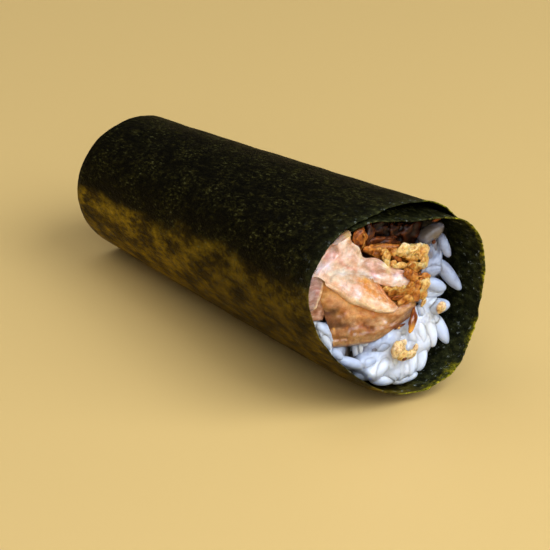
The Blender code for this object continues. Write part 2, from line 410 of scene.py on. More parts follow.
def toasted_nori():
    """Laver dried in a thin mat on a screen and toasted: near-black green, with a
    matted grain of short fibres and a low satin shine. The side that faces the
    table carries a painted golden reflection of the table, and the lit inner wall
    and the frayed edge near the mouth carry painted light, mossy and lighter, with
    painted glints. Where it is torn thin at the rim light comes through it
    yellow-green ("rim")."""
    mat, tree, shader, patterns = new_material("toasted_nori", [
        # fibres lying three ways: really 0.1 to 0.3 mm wide, drawn coarser to show
        ("sheet", 0.85 * MM, (1, 4, 1), 12, 2, 0.55),
        ("sheet", 0.75 * MM, (1, 4, 1), -22, 2, 0.55),
        ("sheet", 0.6 * MM, (1, 4, 1), 58, 2, 0.55),
        # mottling, thick and thin patches, grit, spots of painted glints and the holes torn in the rim
        ("sheet", 1.5 * MM, (1, 2, 1), 8, 4, 0.68),
        ("sheet", 6 * MM, (1, 1.4, 1), 0, 3, 0.55),
        ("sheet", 0.8 * MM, (1, 1.8, 1), 0, 3, 0.7),
        ("sheet", 1.5 * MM, (1, 1.5, 1), 20, 4, 0.75),
        ("sheet", 1.7 * MM, (1, 1, 1), 0, 3, 0.6)])
    *threads, mottle, patches, grit, blisters, torn = patterns
    # the second attribute is a painted golden reflection of the table, the third painted light on the lit
    # inner wall and the frayed edge near the rim
    rim, gold, glint = (add_node(tree, "Attribute", {"attribute_name": name}, output="Fac")
                        for name in ("rim", "gold", "glint"))
    matted = 0.0
    for thread in threads:
        # a thread is a thin line where the pattern passes through its middle value
        off = add_node(tree, "Math", {"operation": "SUBTRACT"}, {0: thread, 1: 0.5})
        away = add_node(tree, "Math", {"operation": "ABSOLUTE"}, {0: off})
        line = add_node(tree, "MapRange", {"interpolation_type": "SMOOTHSTEP"}, {
            "Value": away, "From Max": 0.09, "To Min": 1.0, "To Max": 0.0})
        matted = add_node(tree, "Math", {"operation": "MAXIMUM"}, {0: matted, 1: line})
    worn = add_node(tree, "Mix", {"data_type": "FLOAT"}, {"Factor": 0.45, "A": mottle, "B": patches})
    frayed = add_node(tree, "Math", {"operation": "MULTIPLY"}, {0: rim, 1: torn})

    # the second ramp is the painted light of the lit inner wall, the third the painted golden reflection of
    # the table
    base, lit_wall_colour, golden, fleck_colour, rim_colour = (
        add_node(tree, "ValToRGB", {"stops": stops}, {"Fac": lumps}) for lumps, stops in (
            (mottle, [(0.38, "#020201"), (0.50, "#040401"), (0.60, "#110f04"), (0.72, "#312d0d")]),
            (mottle, [(0.38, "#0e1008"), (0.50, "#202312"), (0.62, "#383b20"), (0.74, "#555938")]),
            (worn, [(0.38, "#281d04"), (0.46, "#4a3909"), (0.54, "#7a6210"), (0.66, "#a28422")]),
            (grit, [(0.48, "#2c290b"), (0.60, "#423f18"), (0.72, "#62613e")]),
            (grit, [(0.36, "#2f2c08"), (0.46, "#55560f"), (0.56, "#97901a"), (0.68, "#c4b23c")])))
    # the fourth share is where the painted glints lie
    reflection_patches, fleck_patches, lit, painted_glint, thin, gloss = (
        add_node(tree, "MapRange", {}, {
            "Value": value, "From Min": start, "From Max": end, "To Min": low, "To Max": high})
        for value, start, end, low, high in (
            (patches, 0.34, 0.56, 0.55, 1.0), (patches, 0.43, 0.62, 0.05, 0.75),
            (grit, 0.48, 0.66, 0.0, 1.0), (blisters, 0.60, 0.69, 0.0, 0.8),
            (frayed, 0.22, 0.50, 0.0, 0.95), (mottle, 0.35, 0.65, 0.4, 0.6)))
    colour = base
    # each layer shows where all of its shares are high: painted light on the lit inner
    # wall and near the rim, a painted golden reflection of the table, flecks of fibre,
    # painted glints, and the torn rim
    for shares, over in (([glint], lit_wall_colour), ([gold, reflection_patches], golden),
                         ([matted, fleck_patches, lit], fleck_colour),
                         ([painted_glint, glint], linear("#9aa29a")), ([thin], rim_colour)):
        share = shares[0]
        for other in shares[1:]:
            share = add_node(tree, "Math", {"operation": "MULTIPLY"}, {0: share, 1: other})
        colour = add_node(tree, "Mix", {"data_type": "RGBA"}, {"Factor": share, "A": colour, "B": over})
    relief = add_node(tree, "Mix", {"data_type": "FLOAT"}, {"Factor": 0.4, "A": matted, "B": grit})
    fibrous = add_node(tree, "Bump", {}, {"Strength": 0.9, "Distance": 0.08 * MM, "Height": relief})
    blistered = add_node(tree, "Bump", {}, {
        "Strength": 0.8, "Distance": 0.3 * MM, "Height": mottle, "Normal": fibrous})
    plug(tree, shader, {
        "Base Color": colour, "Roughness": gloss, "IOR": 1.42, "Specular IOR Level": 0.055,
        "Specular Tint": linear("#ffd98a"), "Normal": blistered})
    return mat


def cooked_rice():
    """Short-grain rice, boiled and dressed: starchy, translucent and bluish white
    with a moist film. Each grain is a little clearer or chalkier than the next, and
    its tone carries painted light and shade: warm grey where the sheet's top shades
    it, near black in the gaps, bluish white where it is lit."""
    # chalky places in the grains, and the fine wrinkles of their skins
    mat, tree, shader, (chalk, fine) = new_material("cooked_rice", [
        (None, 2.4 * MM, (1, 1, 1), 0, 3, 0.55), (None, 0.5 * MM, (1, 1, 1), 0, 3, 0.55)])
    tone = add_node(tree, "Attribute", {"attribute_name": "tone"}, output="Fac")
    centred = add_node(tree, "Math", {"operation": "SUBTRACT"}, {0: chalk, 1: 0.5})
    mixed = add_node(tree, "Math", {"operation": "MULTIPLY_ADD"}, {0: centred, 1: 0.4, 2: tone})
    # the tone is painted light and shade: near black in the gaps, warm grey under the sheet's top, bluish
    # where half lit, bluish white where lit
    colour = add_node(tree, "ValToRGB", {"stops": [
        (0.0, "#1a1810"), (0.2, "#665a4c"), (0.34, "#767886"), (0.48, "#97a1b3"), (0.72, "#b7c2d5"),
        (1.0, "#d3dbe8")]}, {"Fac": mixed})
    bump = add_node(tree, "Bump", {}, {"Strength": 0.25, "Distance": 0.05 * MM, "Height": fine})
    plug(tree, shader, {
        "Base Color": colour, "Roughness": 0.36, "IOR": 1.4, "Subsurface Weight": 0.9,
        "Subsurface Radius": (1.6 * MM, 1.8 * MM, 2.2 * MM), "Subsurface Scale": 1.0,
        "Coat Weight": 0.3, "Coat Roughness": 0.14, "Normal": bump})
    return mat


def oily_fish(name, fat, stain, fat_share, gloss, coat):
    """Fatty fish, sliced and lightly seared: soft and translucent, with pale seams
    of fat between the flakes and a film of oil. Its flakes run along each fold."""
    # seams of fat and browned streaks along the fold, and the grain of the flakes
    mat, tree, shader, (seams, streaks, flakes) = new_material(name, [
        ("fold", 0.7 * MM, (3.6, 1, 1), 8, 4, 0.62), ("fold", 1.6 * MM, (1.8, 1, 1), -8, 4, 0.62),
        (None, 1.1 * MM, (1, 1, 1), 0, 5, 0.68)])
    tint = add_node(tree, "Attribute", {"attribute_name": "tint"}, output="Color")
    # where the fish is seared dark its seams are dark too
    seam, unseared, shade = (
        add_node(tree, "MapRange", {}, {
            "Value": value, "From Min": start, "From Max": end, "To Min": low, "To Max": high})
        for value, start, end, low, high in (
            (seams, 0.50, 0.68, 0.0, fat_share), (tint, 0.02, 0.25, 0.0, 1.0),
            (flakes, 0.3, 0.7, 0.68, 1.06)))
    pale = add_node(tree, "Math", {"operation": "MULTIPLY"}, {0: seam, 1: unseared})
    veined = add_node(tree, "Mix", {"data_type": "RGBA"}, {"Factor": pale, "A": tint, "B": linear(fat)})
    browned = add_node(tree, "ValToRGB", {"stops": [
        (0.32, stain), (0.50, "#f6ece4"), (0.60, "#ffffff")]}, {"Fac": streaks})
    stained = add_node(tree, "Mix", {"data_type": "RGBA", "blend_type": "MULTIPLY"}, {
        "Factor": 1.0, "A": veined, "B": browned})
    colour = add_node(tree, "VectorMath", {"operation": "SCALE"}, {0: stained, "Scale": shade})
    relief = add_node(tree, "Mix", {"data_type": "FLOAT"}, {"Factor": 0.5, "A": seams, "B": flakes})
    bump = add_node(tree, "Bump", {}, {"Strength": 0.8, "Distance": 0.35 * MM, "Height": relief})
    plug(tree, shader, {
        "Base Color": colour, "Roughness": gloss, "IOR": 1.42,
        "Subsurface Weight": 0.4, "Subsurface Radius": (0.9 * MM, 0.45 * MM, 0.25 * MM),
        "Subsurface Scale": 1.0, "Coat Weight": coat, "Coat Roughness": 0.08, "Normal": bump})
    return mat


def crisp_onion():
    """Shallot sliced thin and fried: a blistered golden crust, browner along its
    thin edges and darker in its creases, partly as painted shade, with a little oil on it."""
    mat, tree, shader, (blisters,) = new_material("crisp_onion", [(None, 0.7 * MM, (1, 1, 1), 0, 3, 0.6)])
    tint = add_node(tree, "Attribute", {"attribute_name": "tint"}, output="Color")
    shade = add_node(tree, "ValToRGB", {"stops": [
        (0.33, "#b59c80"), (0.5, "#f0e8dc"), (0.66, "#ffffff")]}, {"Fac": blisters})
    colour = add_node(tree, "Mix", {"data_type": "RGBA", "blend_type": "MULTIPLY"}, {
        "Factor": 1.0, "A": tint, "B": shade})
    bump = add_node(tree, "Bump", {}, {"Strength": 0.6, "Distance": 0.15 * MM, "Height": blisters})
    plug(tree, shader, {
        "Base Color": colour, "Roughness": 0.48, "IOR": 1.45, "Specular IOR Level": 0.25,
        "Subsurface Weight": 0.45, "Subsurface Radius": (1.0 * MM, 0.55 * MM, 0.2 * MM),
        "Subsurface Scale": 1.0, "Coat Weight": 0.12, "Coat Roughness": 0.2, "Normal": bump})
    return mat


def soy_glaze():
    """Thick sweet soy, boiled down to a syrup: clear red-brown with a wet shine,
    darker where it is deep ("tint")."""
    mat, tree, shader, _ = new_material("soy_glaze")
    tint = add_node(tree, "Attribute", {"attribute_name": "tint"}, output="Color")
    plug(tree, shader, {
        "Base Color": tint, "Roughness": 0.16, "IOR": 1.45, "Subsurface Weight": 0.4,
        "Subsurface Radius": (1.2 * MM, 0.5 * MM, 0.2 * MM), "Subsurface Scale": 1.0,
        "Coat Weight": 0.6, "Coat Roughness": 0.05})
    return mat


def pale_table():
    """A painted tabletop: plain, pale and warm, with a satin finish."""
    mat, tree, shader, _ = new_material("pale_table")
    plug(tree, shader, {"Base Color": linear("#d2b16d"), "Roughness": 0.55})
    return mat


# ------------------------------------------------------------------- nori sheet

NORI_ROUND = 400                # cells round the sheet, each about half a millimetre
NORI_ALONG = 92
NORI_CROWDING = 1.5             # how the cells along it crowd toward the mouth
LOW_LIP, HIGH_LIP = 305, 80     # angles where the rim is the most ragged
TEAR_DEPTH = 1.3 * MM           # how far the torn rim is bitten back
TEAR_REACH = 2.2 * MM           # how far from the rim a bite still pulls the sheet
# The rim's bites, the frays along them and the finest points: size, share of depth.
BITES = (5.5 * MM, 0.7)
FRAYS = (1.1 * MM, 0.30)
POINTS = (0.55 * MM, 0.20)
# The sheet's buckles, its small ripples and the waves of its lip: size and height.
BUCKLES = (9 * MM, 0.16 * MM)
RIPPLES = (1.6 * MM, 0.05 * MM)
LIP_WAVES = (4.5 * MM, 0.35 * MM)
LIP_DEPTH = 2.5 * MM            # how far behind the rim the lip's waves die out
BUCKLE_ROOM = 0.12 * MM         # the sheet is drawn in so that its buckles fit
RIM_BAND = 2.0 * MM             # width of the thin, lighter edge
REFLECTION_SIDE = (164, 174, 262, 290)    # angles where the painted reflection of the table begins and ends
REFLECTION_OUTER = (300, 330)         # degrees of winding where the outer turn's painted reflection ends
REFLECTION_START = (-20 * MM, 30 * MM)    # the painted reflection grows stronger between these depths
INNER_SIDE = 320                # angle where light reaches the inner wall
LIT_WALL_DEPTH = (6 * MM, 8 * MM)    # painted light on the inner wall reaches this depth, and how fast it fades


def torn_rim(wound):
    """How far the rim is bitten back after this many degrees, and frayed."""
    arc = math.radians(wound) * MOUTH_RADIUS
    bite, fray, point = (rough(arc, row, 0, size) * depth
                         for row, (size, depth) in ((0.3, BITES), (4.0, FRAYS), (9.0, POINTS)))
    angle = (OUTER_END + wound) % 360
    raggedness = (0.35 + 0.65 * ease(wave(angle, LOW_LIP), 0.35, 0.9)
                  + 0.5 * ease(wave(angle, HIGH_LIP), 0.2, 0.9))
    return TEAR_DEPTH * raggedness * (max(bite, 0.0) + fray + point)


def buckle_at(arc, y, from_rim):
    """How far the sheet stands off its cone here."""
    buckle = BUCKLES[1] * rough(arc, y, 0, BUCKLES[0]) + RIPPLES[1] * rough(arc, y * 0.5, 5, RIPPLES[0])
    return buckle + math.exp(-from_rim / LIP_DEPTH) * LIP_WAVES[1] * rough(arc, 0, 2, LIP_WAVES[0])


def thin_at(angle, arc, from_rim):
    """How thin the sheet is torn here, 0 to 1."""
    ragged = 0.28 + 0.72 * max(ease(wave(angle, LOW_LIP), 0.45, 0.9), ease(wave(angle, 30), 0.7, 0.95))
    ragged *= 0.5 + 0.5 * ease(rough(arc, 0, 6, 6 * MM), -0.3, 0.2)
    band = RIM_BAND * (1 + 1.4 * ease(wave(angle, 298), 0.86, 1))
    return ragged * math.exp(-max(from_rim - 0.2 * MM, 0) / band)


def painted_reflection_at(angle, arc, y, wound):
    """How much painted golden reflection of the table the sheet carries here, 0 to 1."""
    uneven = angle % 360 + 7 * rough(arc, y, 8, 12 * MM) + 3 * rough(arc, y, 3, 2.5 * MM)
    uneven += 8 * station_at(y)
    side = ease(uneven, *REFLECTION_SIDE[:2]) * (1 - ease(angle % 360, *REFLECTION_SIDE[2:]))
    return side * (1 - ease(wound, *REFLECTION_OUTER)) * (0.45 + 0.55 * ease(y, *REFLECTION_START))


def painted_light_at(angle, from_rim):
    """How much painted light the sheet carries here, 0 to 1: mossy and lighter on the lit inner wall and on
    the frayed edge near the rim.
    """
    inner_wall = 0.12 + 0.88 * ease(wave(angle, INNER_SIDE), -0.1, 0.4)
    whole, fading = LIT_WALL_DEPTH
    frayed = 0.8 * math.exp(-from_rim / LIP_DEPTH)
    return max(inner_wall * math.exp(-max(from_rim - whole, 0) / fading), frayed)


def add_nori(mat):
    bm = bmesh.new()
    bmesh.ops.create_grid(bm, x_segments=NORI_ROUND, y_segments=NORI_ALONG, size=0.5)
    rim, gold, glint = (bm.verts.layers.float.new(name) for name in ("rim", "gold", "glint"))
    flat = {}
    for vert in bm.verts:
        wound = (vert.co.x + 0.5) * WINDING
        along = 1 - (0.5 - vert.co.y) ** NORI_CROWDING
        angle = OUTER_END + wound
        mouth, far = mouth_edge(wound), far_edge(wound)
        y = far + (mouth - far) * along
        from_rim = y - mouth
        y += torn_rim(wound) * math.exp(-from_rim / TEAR_REACH)
        arc = math.radians(wound) * MOUTH_RADIUS
        radius = sheet_radius(wound, y) - BUCKLE_ROOM + buckle_at(arc, y, from_rim) + lip_out(wound, y)
        point = about_axis(radius, angle, y)
        point.z = max(point.z, 0.0)
        vert[rim] = thin_at(angle, arc, from_rim)
        # a painted golden reflection of the table, and painted light on the lit inner wall and near the rim
        vert[gold] = painted_reflection_at(angle, arc, y, wound)
        vert[glint] = painted_light_at(angle, from_rim)
        flat[vert] = (arc, y)
        vert.co = point + CENTRING
    map_surface(bm, "sheet", flat)
    sheet = piece("nori_sheet", bm, mat, "nori_wrap")
    shell = sheet.modifiers.new("Thickness", "SOLIDIFY")
    shell.thickness = NORI_THICKNESS
    shell.offset = -1


# ------------------------------------------------------------------------- rice

GRAIN_LENGTH = 7.8 * MM
GRAIN_WIDTH = 3.1 * MM
GRAIN_SIDES = (10, 7)           # round a grain and along it

# Grains that show at the mouth: for both ends x and z as drawn on the face and how
# far the end stands forward, and the width, in millimetres; and the tone, from 0 in
# painted shade to 1 in painted light.
MOUTH_GRAINS = [
    # hanging under the top of the sheet, on the right, in painted shade
    ((8.4, 34.9, -1.8), (13.2, 36.7, -0.6), 3.9, -0.02),
    ((13.6, 34.4, -1.2), (15.6, 29.2, 0.8), 2.6, 0.20),
    ((11.8, 33.8, -2.2), (12.2, 28.6, -1.6), 3, 0.06),
    ((9.5, 33.4, -1.6), (10.3, 28.4, -0.8), 3, 0.10),
    # reaching out to the right
    ((9, 27.4, -0.4), (13.4, 27, 0), 3.9, 0.22),
    ((13, 28, -0.4), (18.6, 20.6, 2.6), 3.5, 0.26),
    ((9, 24.6, -0.2), (14.2, 21.6, 1.2), 3.6, 0.44),
    ((8.8, 21.6, -0.2), (13.6, 21, 0.6), 3.2, 0.50),
    ((8.8, 18.8, 0.2), (11.8, 19.4, 0.4), 3.4, 0.66),
    ((10.6, 17.8, 0.4), (15, 17.2, 2.2), 4, 0.50),
    # the bright heap at the lower right
    ((12.2, 14.8, 0.6), (15.4, 8.3, 2.6), 3.3, 0.70),
    ((9.8, 15.6, 0.8), (11.5, 8.6, 2.2), 3.5, 0.92),
    ((8.2, 18.4, 0.4), (11.2, 13.4, 1.2), 3.3, 0.80),
    ((10.6, 17.4, 0.2), (12.6, 13.2, 0.8), 3, 0.74),
    ((7.2, 15.2, 0.6), (9, 9, 2), 3.4, 0.90),
    ((4.8, 13.6, 0.4), (7.4, 9.6, 1.4), 3.3, 0.86),
    # the heap at the bottom
    ((2.2, 13.6, 0.2), (3, 8.6, 1.2), 3.4, 0.84),
    ((0, 12.2, 0.4), (0.2, 6.6, 2), 3.6, 0.88),
    ((7.6, 9.2, 0.6), (7.6, 3.9, 2), 3.7, 0.90),
    ((5.2, 8.6, 1), (4.8, 3.4, 2.3), 3.6, 0.92),
    ((2.8, 7.4, 0.8), (2.2, 3, 1.8), 3.4, 0.86),
    ((-1.4, 9, 0.6), (-4.8, 5.6, 2.3), 3.7, 0.88),
    ((-2, 6, 0.6), (0.8, 3.2, 1.4), 3.2, 0.82),
    ((-5, 4.6, 0.2), (0.6, 3, 1), 3.5, 0.78),
    ((0.6, 2.7, 0.6), (6.4, 2.6, 1.4), 3.4, 0.84),
    ((-9.6, 7, -1.2), (-6, 5.6, -0.6), 2.8, 0.30),
    # the bluish row along the lower left
    ((-15.2, 11, 0.2), (-8, 8.5, 1), 2.7, 0.42),
    ((-9.6, 9.2, 0.3), (-3, 8.9, 0.9), 3, 0.48),
    ((-17.4, 13.7, 0), (-14, 12.5, 0.6), 2.7, 0.40),
    ((-6.6, 12.4, -1.2), (-4, 12.2, -0.5), 3.6, 0.06),
    ((-4.6, 11.6, -0.6), (-0.6, 12.6, 0.2), 3.8, 0.36),
    ((0.6, 14, -0.4), (4.6, 14.8, 0), 3, 0.74),
    # upright at the far left
    ((-21.3, 22.8, -0.4), (-19.8, 16.6, 0.4), 2.7, 0.58),
    ((-20.6, 22, 0), (-17.5, 18.9, 0.8), 2.9, 0.44),
    ((-19.6, 20, 0.3), (-18.7, 15.2, 0.9), 2.7, 0.66),
    ((-18.2, 19.8, -0.2), (-17.5, 16.6, 0.3), 2.7, 0.52),
]
# Where no grains fill the gap at the mouth: a line on the face, and its width. There the bed and core sink
# and are painted dark as shade.
RICE_GAPS = [
    ([(-11.5, 11.6), (-10.3, 14.8)], 1.9),
    ([(12.8, 24.1), (14.4, 22.7)], 0.8),
    ([(12.8, 19.9), (16, 19.9)], 0.7),
    ([(-12.8, 7.9), (-10.5, 7.2), (-8.2, 5.2)], 0.9),
    ([(0, 36), (6, 38), (13, 40)], 3.6),
    ([(7.4, 19.4), (8.2, 17)], 0.5),
]
GRAIN_FULLER = 1.14             # how much wider than drawn a grain at the mouth is
GRAIN_PALER = 0.05              # and how much more painted light its tone carries
GRAIN_BLUNT = 2.4               # how blunt a grain's ends are, 2 being a plain oval
GRAIN_TAPER = 0.14              # how much narrower it is at its far end
GRAIN_FLAT = 0.86               # its thickness beside its width
GRAIN_DENTS = (2.6 * MM, 0.2)   # the size and depth of its dents
BACK_GRAINS = 120               # loose grains behind those at the mouth
FAR_GRAINS = 130                # and at the far end
RICE_ANGLES = (178, 425)        # the loose grains lie between these angles,
RICE_SHARES = (0.42, 0.98)      # between these shares of the room's radius,
RICE_SPARE = 1.2 * MM           # which is taken this much smaller
FISH_LEFT, FISH_RIGHT = -19.5, 8.5
OPEN_TOP, OPEN_RIGHT = 27, 11.5     # above and beyond these the mouth is left open,
OPEN_LOW = (8.5, 9)             # and so it is both beyond and under these
GAP_MARGIN = 2.5                # how far the loose grains keep from a gap
LOOSE_DEPTH = (1.0, 3.2)        # how far back the loose grains lie, in millimetres
LOOSE_TILT = 0.35               # how far they may point out of the face, in radians
SHORTEST = 0.55                 # share of its length left when the wall cuts a grain


def add_grain(bm, tone_layer, start, end, width, tone, bend=0.0):
    """One grain between two points: round ended, nearly straight, slightly flat."""
    run = end - start
    length = run.length + 0.5 * width
    round_it, along_it = GRAIN_SIDES
    made = bmesh.ops.create_uvsphere(bm, u_segments=round_it, v_segments=along_it, radius=1.0)
    middle = (start + end) / 2
    turn = run.to_track_quat("Z", "Y").to_matrix()
    dent_size, dent_depth = GRAIN_DENTS
    for vert in made["verts"]:
        x, y, z = vert.co
        ring = math.sqrt(max(1 - z * z, 1e-9))
        girth = math.sqrt(max(1 - abs(z) ** GRAIN_BLUNT, 0.0)) / ring if ring > 1e-3 else 1.0
        girth *= (1 - GRAIN_TAPER * z) * width / 2
        local = Vector((x * girth, y * girth * GRAIN_FLAT, z * length / 2))
        local.x += bend * width * (z * z - 0.4)
        dented = 1 + dent_depth * rough(*(middle + local), dent_size)
        local.x *= dented
        local.y *= dented
        vert[tone_layer] = 0.2 + 0.8 * tone
        vert.co = middle + turn @ local


def rice_band_point(dice, far):
    """A random point in the band of rice, on the mouth's face or the far one."""
    while True:
        angle = dice.uniform(*RICE_ANGLES)
        share = dice.uniform(*RICE_SHARES)
        y = FAR_FACE_Y if far else FACE_Y
        point = about_axis(share * (room_radius(angle, y) - RICE_SPARE), angle, y)
        x, z = point.x / MM, point.z / MM
        if far or not (in_fish(x, z) or in_open(x, z)):
            return point


def in_fish(x, z):
    """True where the fish and onion fill the mouth's face, above two slanting lines."""
    above = z > 12.5 + 0.16 * abs(x + 7) and z > 15.5 + 0.25 * x
    return above and FISH_LEFT < x < FISH_RIGHT


def in_open(x, z):
    """True where the mouth is left open beside the rice, or between its grains."""
    if z > OPEN_TOP or x > OPEN_RIGHT or x > OPEN_LOW[0] and z < OPEN_LOW[1]:
        return True
    return min(distance_to(x, z, line) for line, _ in RICE_GAPS) < GAP_MARGIN


def gap_at(x, z):
    """1 in the gaps between the grains at the mouth, 0 well away from them."""
    return max(nearness(x, z, line, width) for line, width in RICE_GAPS)


def add_loose_grains(bm, tone_layer, dice, count, far):
    """Grains lying every way, mostly across the face, set back from it."""
    for _ in range(count):
        middle = rice_band_point(dice, far)
        depth = dice.uniform(*LOOSE_DEPTH) * MM
        middle = middle + Vector((0, 0.9 * MM - 0.9 * depth if far else depth, 0))
        heading = dice.uniform(0, math.tau)
        tilt = dice.uniform(-LOOSE_TILT, LOOSE_TILT)
        run = Vector((math.cos(heading) * math.cos(tilt), math.sin(tilt),
                      math.sin(heading) * math.cos(tilt)))
        half = GRAIN_LENGTH * dice.uniform(0.40, 0.47)
        width = GRAIN_WIDTH * dice.uniform(0.9, 1.1)
        start = kept_in(middle - run * half, width * 0.55)
        end = kept_in(middle + run * half, width * 0.55)
        if (end - start).length < SHORTEST * GRAIN_LENGTH:
            continue
        if not far and any(in_open(point.x / MM, point.z / MM) for point in (start, end)):
            continue
        if far:
            tone = dice.uniform(0.6, 1.0)
        else:
            # darker toward the top, where the sheet and the fish shade the rice
            height = (start.z + end.z) / 2 / MM
            tone = 0.95 - 0.6 * ease(height, 12, 32) + dice.uniform(-0.1, 0.1)
        add_grain(bm, tone_layer, start + CENTRING, end + CENTRING, width, tone, dice.uniform(-0.12, 0.12))


# The starchy bed that the grains at the mouth are half sunk in, as pairs of points
# on the face, in millimetres: on its outer side and on its inner side.
RICE_BED = [
    ((-20.8, 22.6), (-17.8, 22)), ((-20, 19.6), (-16.6, 19)), ((-18.4, 16), (-15.6, 16.6)),
    ((-15.6, 11.8), (-12.6, 14.4)), ((-12, 8.4), (-8.6, 13.4)), ((-8, 5.6), (-4.8, 13.8)),
    ((-4, 3.6), (-1, 14.8)), ((1, 2.1), (2.2, 15.8)), ((6, 2.2), (5, 17.2)),
    ((8.8, 5), (6.6, 18.6)), ((11.4, 8.2), (7, 19.8)), ((12.6, 12.6), (7.4, 21.2)),
    ((12.6, 17.6), (7.6, 22.8)), ((13, 21.4), (7.8, 24.4)), ((13.8, 26.4), (8.2, 26.8)),
    ((14.2, 30), (8.8, 29.6)), ((13.6, 34), (9, 33)),
]
BED_SUNK = 0.62                 # share of a grain's half width that the bed reaches
BED_SOFT = 0.42                 # how softly the bed runs from grain to grain,
BED_BACK = 1.2                  # how far back it lies where there is no grain,
GAP_DEPTH = 3.5                 # how far a gap sinks it, all in millimetres
BED_CELLS = (180, 52, 2)
BED_EDGE = 1.4                  # radius of its rounded edges
BED_TEXTURE = (1.3, 0.12)       # how close and how high its small lumps are
CORE_DRAWN_IN = 3.8 * MM        # how far the core is drawn in behind the grains
CORE_FINE = 6 * MM              # how far from the face the core is divided finer


def bed_at(x, z):
    """How far the bed stands forward under the grains at a point, and its tone, painted dark in the gaps as
    shade.
    """
    total = math.exp(-BED_BACK / BED_SOFT)
    tones = 0.5 * total
    for (x1, z1, f1), (x2, z2, f2), width, tone in MOUTH_GRAINS:
        run = Vector((x2 - x1, z2 - z1))
        t = clamp(Vector((x - x1, z - z1)).dot(run) / run.length_squared)
        off = (Vector((x - x1, z - z1)) - run * t).length / (width / 2)
        height = f1 + (f2 - f1) * t + BED_SUNK * width / 2 * (1 - 0.7 * off * off)
        share = math.exp(height / BED_SOFT)
        total += share
        tones += share * tone
    gap = gap_at(x, z)
    return BED_SOFT * math.log(total) - GAP_DEPTH * gap, tones / total * (1 - gap) - 0.25 * gap


def add_rice_bed(mat):
    bm = lattice(BED_CELLS)
    tone_layer = bm.verts.layers.float.new("tone")
    outer, inner = zip(*RICE_BED)
    close, high = BED_TEXTURE
    for vert in bm.verts:
        u, v, back = ((value + 1) / 2 for value in vert.co)
        x, z = curve_at(outer, u).lerp(curve_at(inner, u), v)
        forward, tone = bed_at(x, z)
        forward -= set_back_at(min(v * 8, 20 * u, 20 * (1 - u)), BED_EDGE)
        forward += high * noise.noise(Vector((x, z, 0)) * close)
        vert[tone_layer] = 0.25 + 0.8 * tone
        y = FACE_Y - forward * MM * (1 - back) + 5 * MM * back
        vert.co = kept_in(behind(x * MM, z * MM, y), 0.3 * MM) + CENTRING
    bmesh.ops.recalc_face_normals(bm, faces=bm.faces)
    piece("rice_bed", bm, mat)


def add_rice(mat):
    add_rice_bed(mat)
    dice = random.Random(8)
    for name, far in (("rice_grains_mouth", False), ("rice_grains_far", True)):
        bm = bmesh.new()
        tone_layer = bm.verts.layers.float.new("tone")
        if not far:
            for start, end, width, tone in MOUTH_GRAINS:
                add_grain(bm, tone_layer, in_mouth(*start, width * 0.5), in_mouth(*end, width * 0.5),
                          GRAIN_FULLER * width * MM, tone + GRAIN_PALER, dice.uniform(-0.1, 0.1))
        add_loose_grains(bm, tone_layer, dice, FAR_GRAINS if far else BACK_GRAINS, far)
        grains = piece(name, bm, mat)
        rounding = grains.modifiers.new("Rounding", "SUBSURF")
        rounding.levels = rounding.render_levels = 1
    core = merged_copy("rice")
    shorten(core, CORE_DRAWN_IN)
    near_mouth = [edge for edge in core.edges if min(vert.co.y for vert in edge.verts) < FACE_Y + CORE_FINE]
    bmesh.ops.subdivide_edges(core, edges=near_mouth, cuts=3, use_grid_fill=True)
    tone_layer = core.verts.layers.float.new("tone")
    for vert in core.verts:
        place = vert.co - CENTRING
        x, z = place.x / MM, place.z / MM
        # painted shade: darker toward the top, dark in the gaps and close to the wall on the right
        shade = 0.95 - 0.4 * ease(z, 14, 30)
        vert[tone_layer] = shade * (1 - gap_at(x, z)) * (1 - ease(x, OPEN_RIGHT, OPEN_RIGHT + 2))
    piece("rice_core", core, mat, "rice")


def merged_copy(node):
    """A copy of a node's mesh with its loose triangles joined."""
    bm = bmesh.new()
    bm.from_mesh(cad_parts[node].data)
    bmesh.ops.remove_doubles(bm, verts=bm.verts, dist=1e-6)
    return bm


def shorten(bm, set_back):
    """Draw both ends of a filling in by this much."""
    values = [vert.co.y for vert in bm.verts]
    middle, half = (min(values) + max(values)) / 2, (max(values) - min(values)) / 2
    for vert in bm.verts:
        vert.co.y = middle + (vert.co.y - middle) * (1 - set_back / half)


# ------------------------------------------------------------------------- fish

# Each fold is a patch of the mouth's face between four lines, in millimetres:
# left and right going up, bottom and top going right.
UPPER_FOLD = {
    "left": [(-23.2, 34.2), (-21.6, 37), (-17.6, 40.4), (-11.5, 44.4)],
    "right": [(4.4, 24.6), (5.4, 25.6), (5, 27)],
    "bottom": [(-23.2, 34.2), (-20, 33.2), (-17.4, 31.2), (-12.5, 29.6), (-8.2, 28.8), (-5, 27.8),
               (-1.4, 26.1), (1.6, 25.1), (4.4, 24.6)],
    "top": [(-11.5, 44.4), (-11.4, 41), (-10.9, 39.2), (-9, 37.4), (-7.8, 34.8), (-4.6, 33.8),
            (-1.8, 31.8), (1.4, 29.6), (3.8, 28.4), (5, 27)],
}
LOWER_LOBE = {
    "left": [(-17.9, 30.4), (-18.3, 32.2), (-17.4, 34.6)],
    "right": [(0.8, 19.1), (1.8, 20), (1.2, 21)],
    "bottom": [(-17.9, 30.4), (-14.6, 27.6), (-11.6, 24.8), (-8.6, 23.1), (-5.6, 21.3), (-2.6, 19.9),
               (0.8, 19.1)],
    "top": [(-17.4, 34.6), (-11, 32.8), (-6.6, 30.4), (-3.6, 27.4), (-1.4, 24), (1.2, 21)],
}
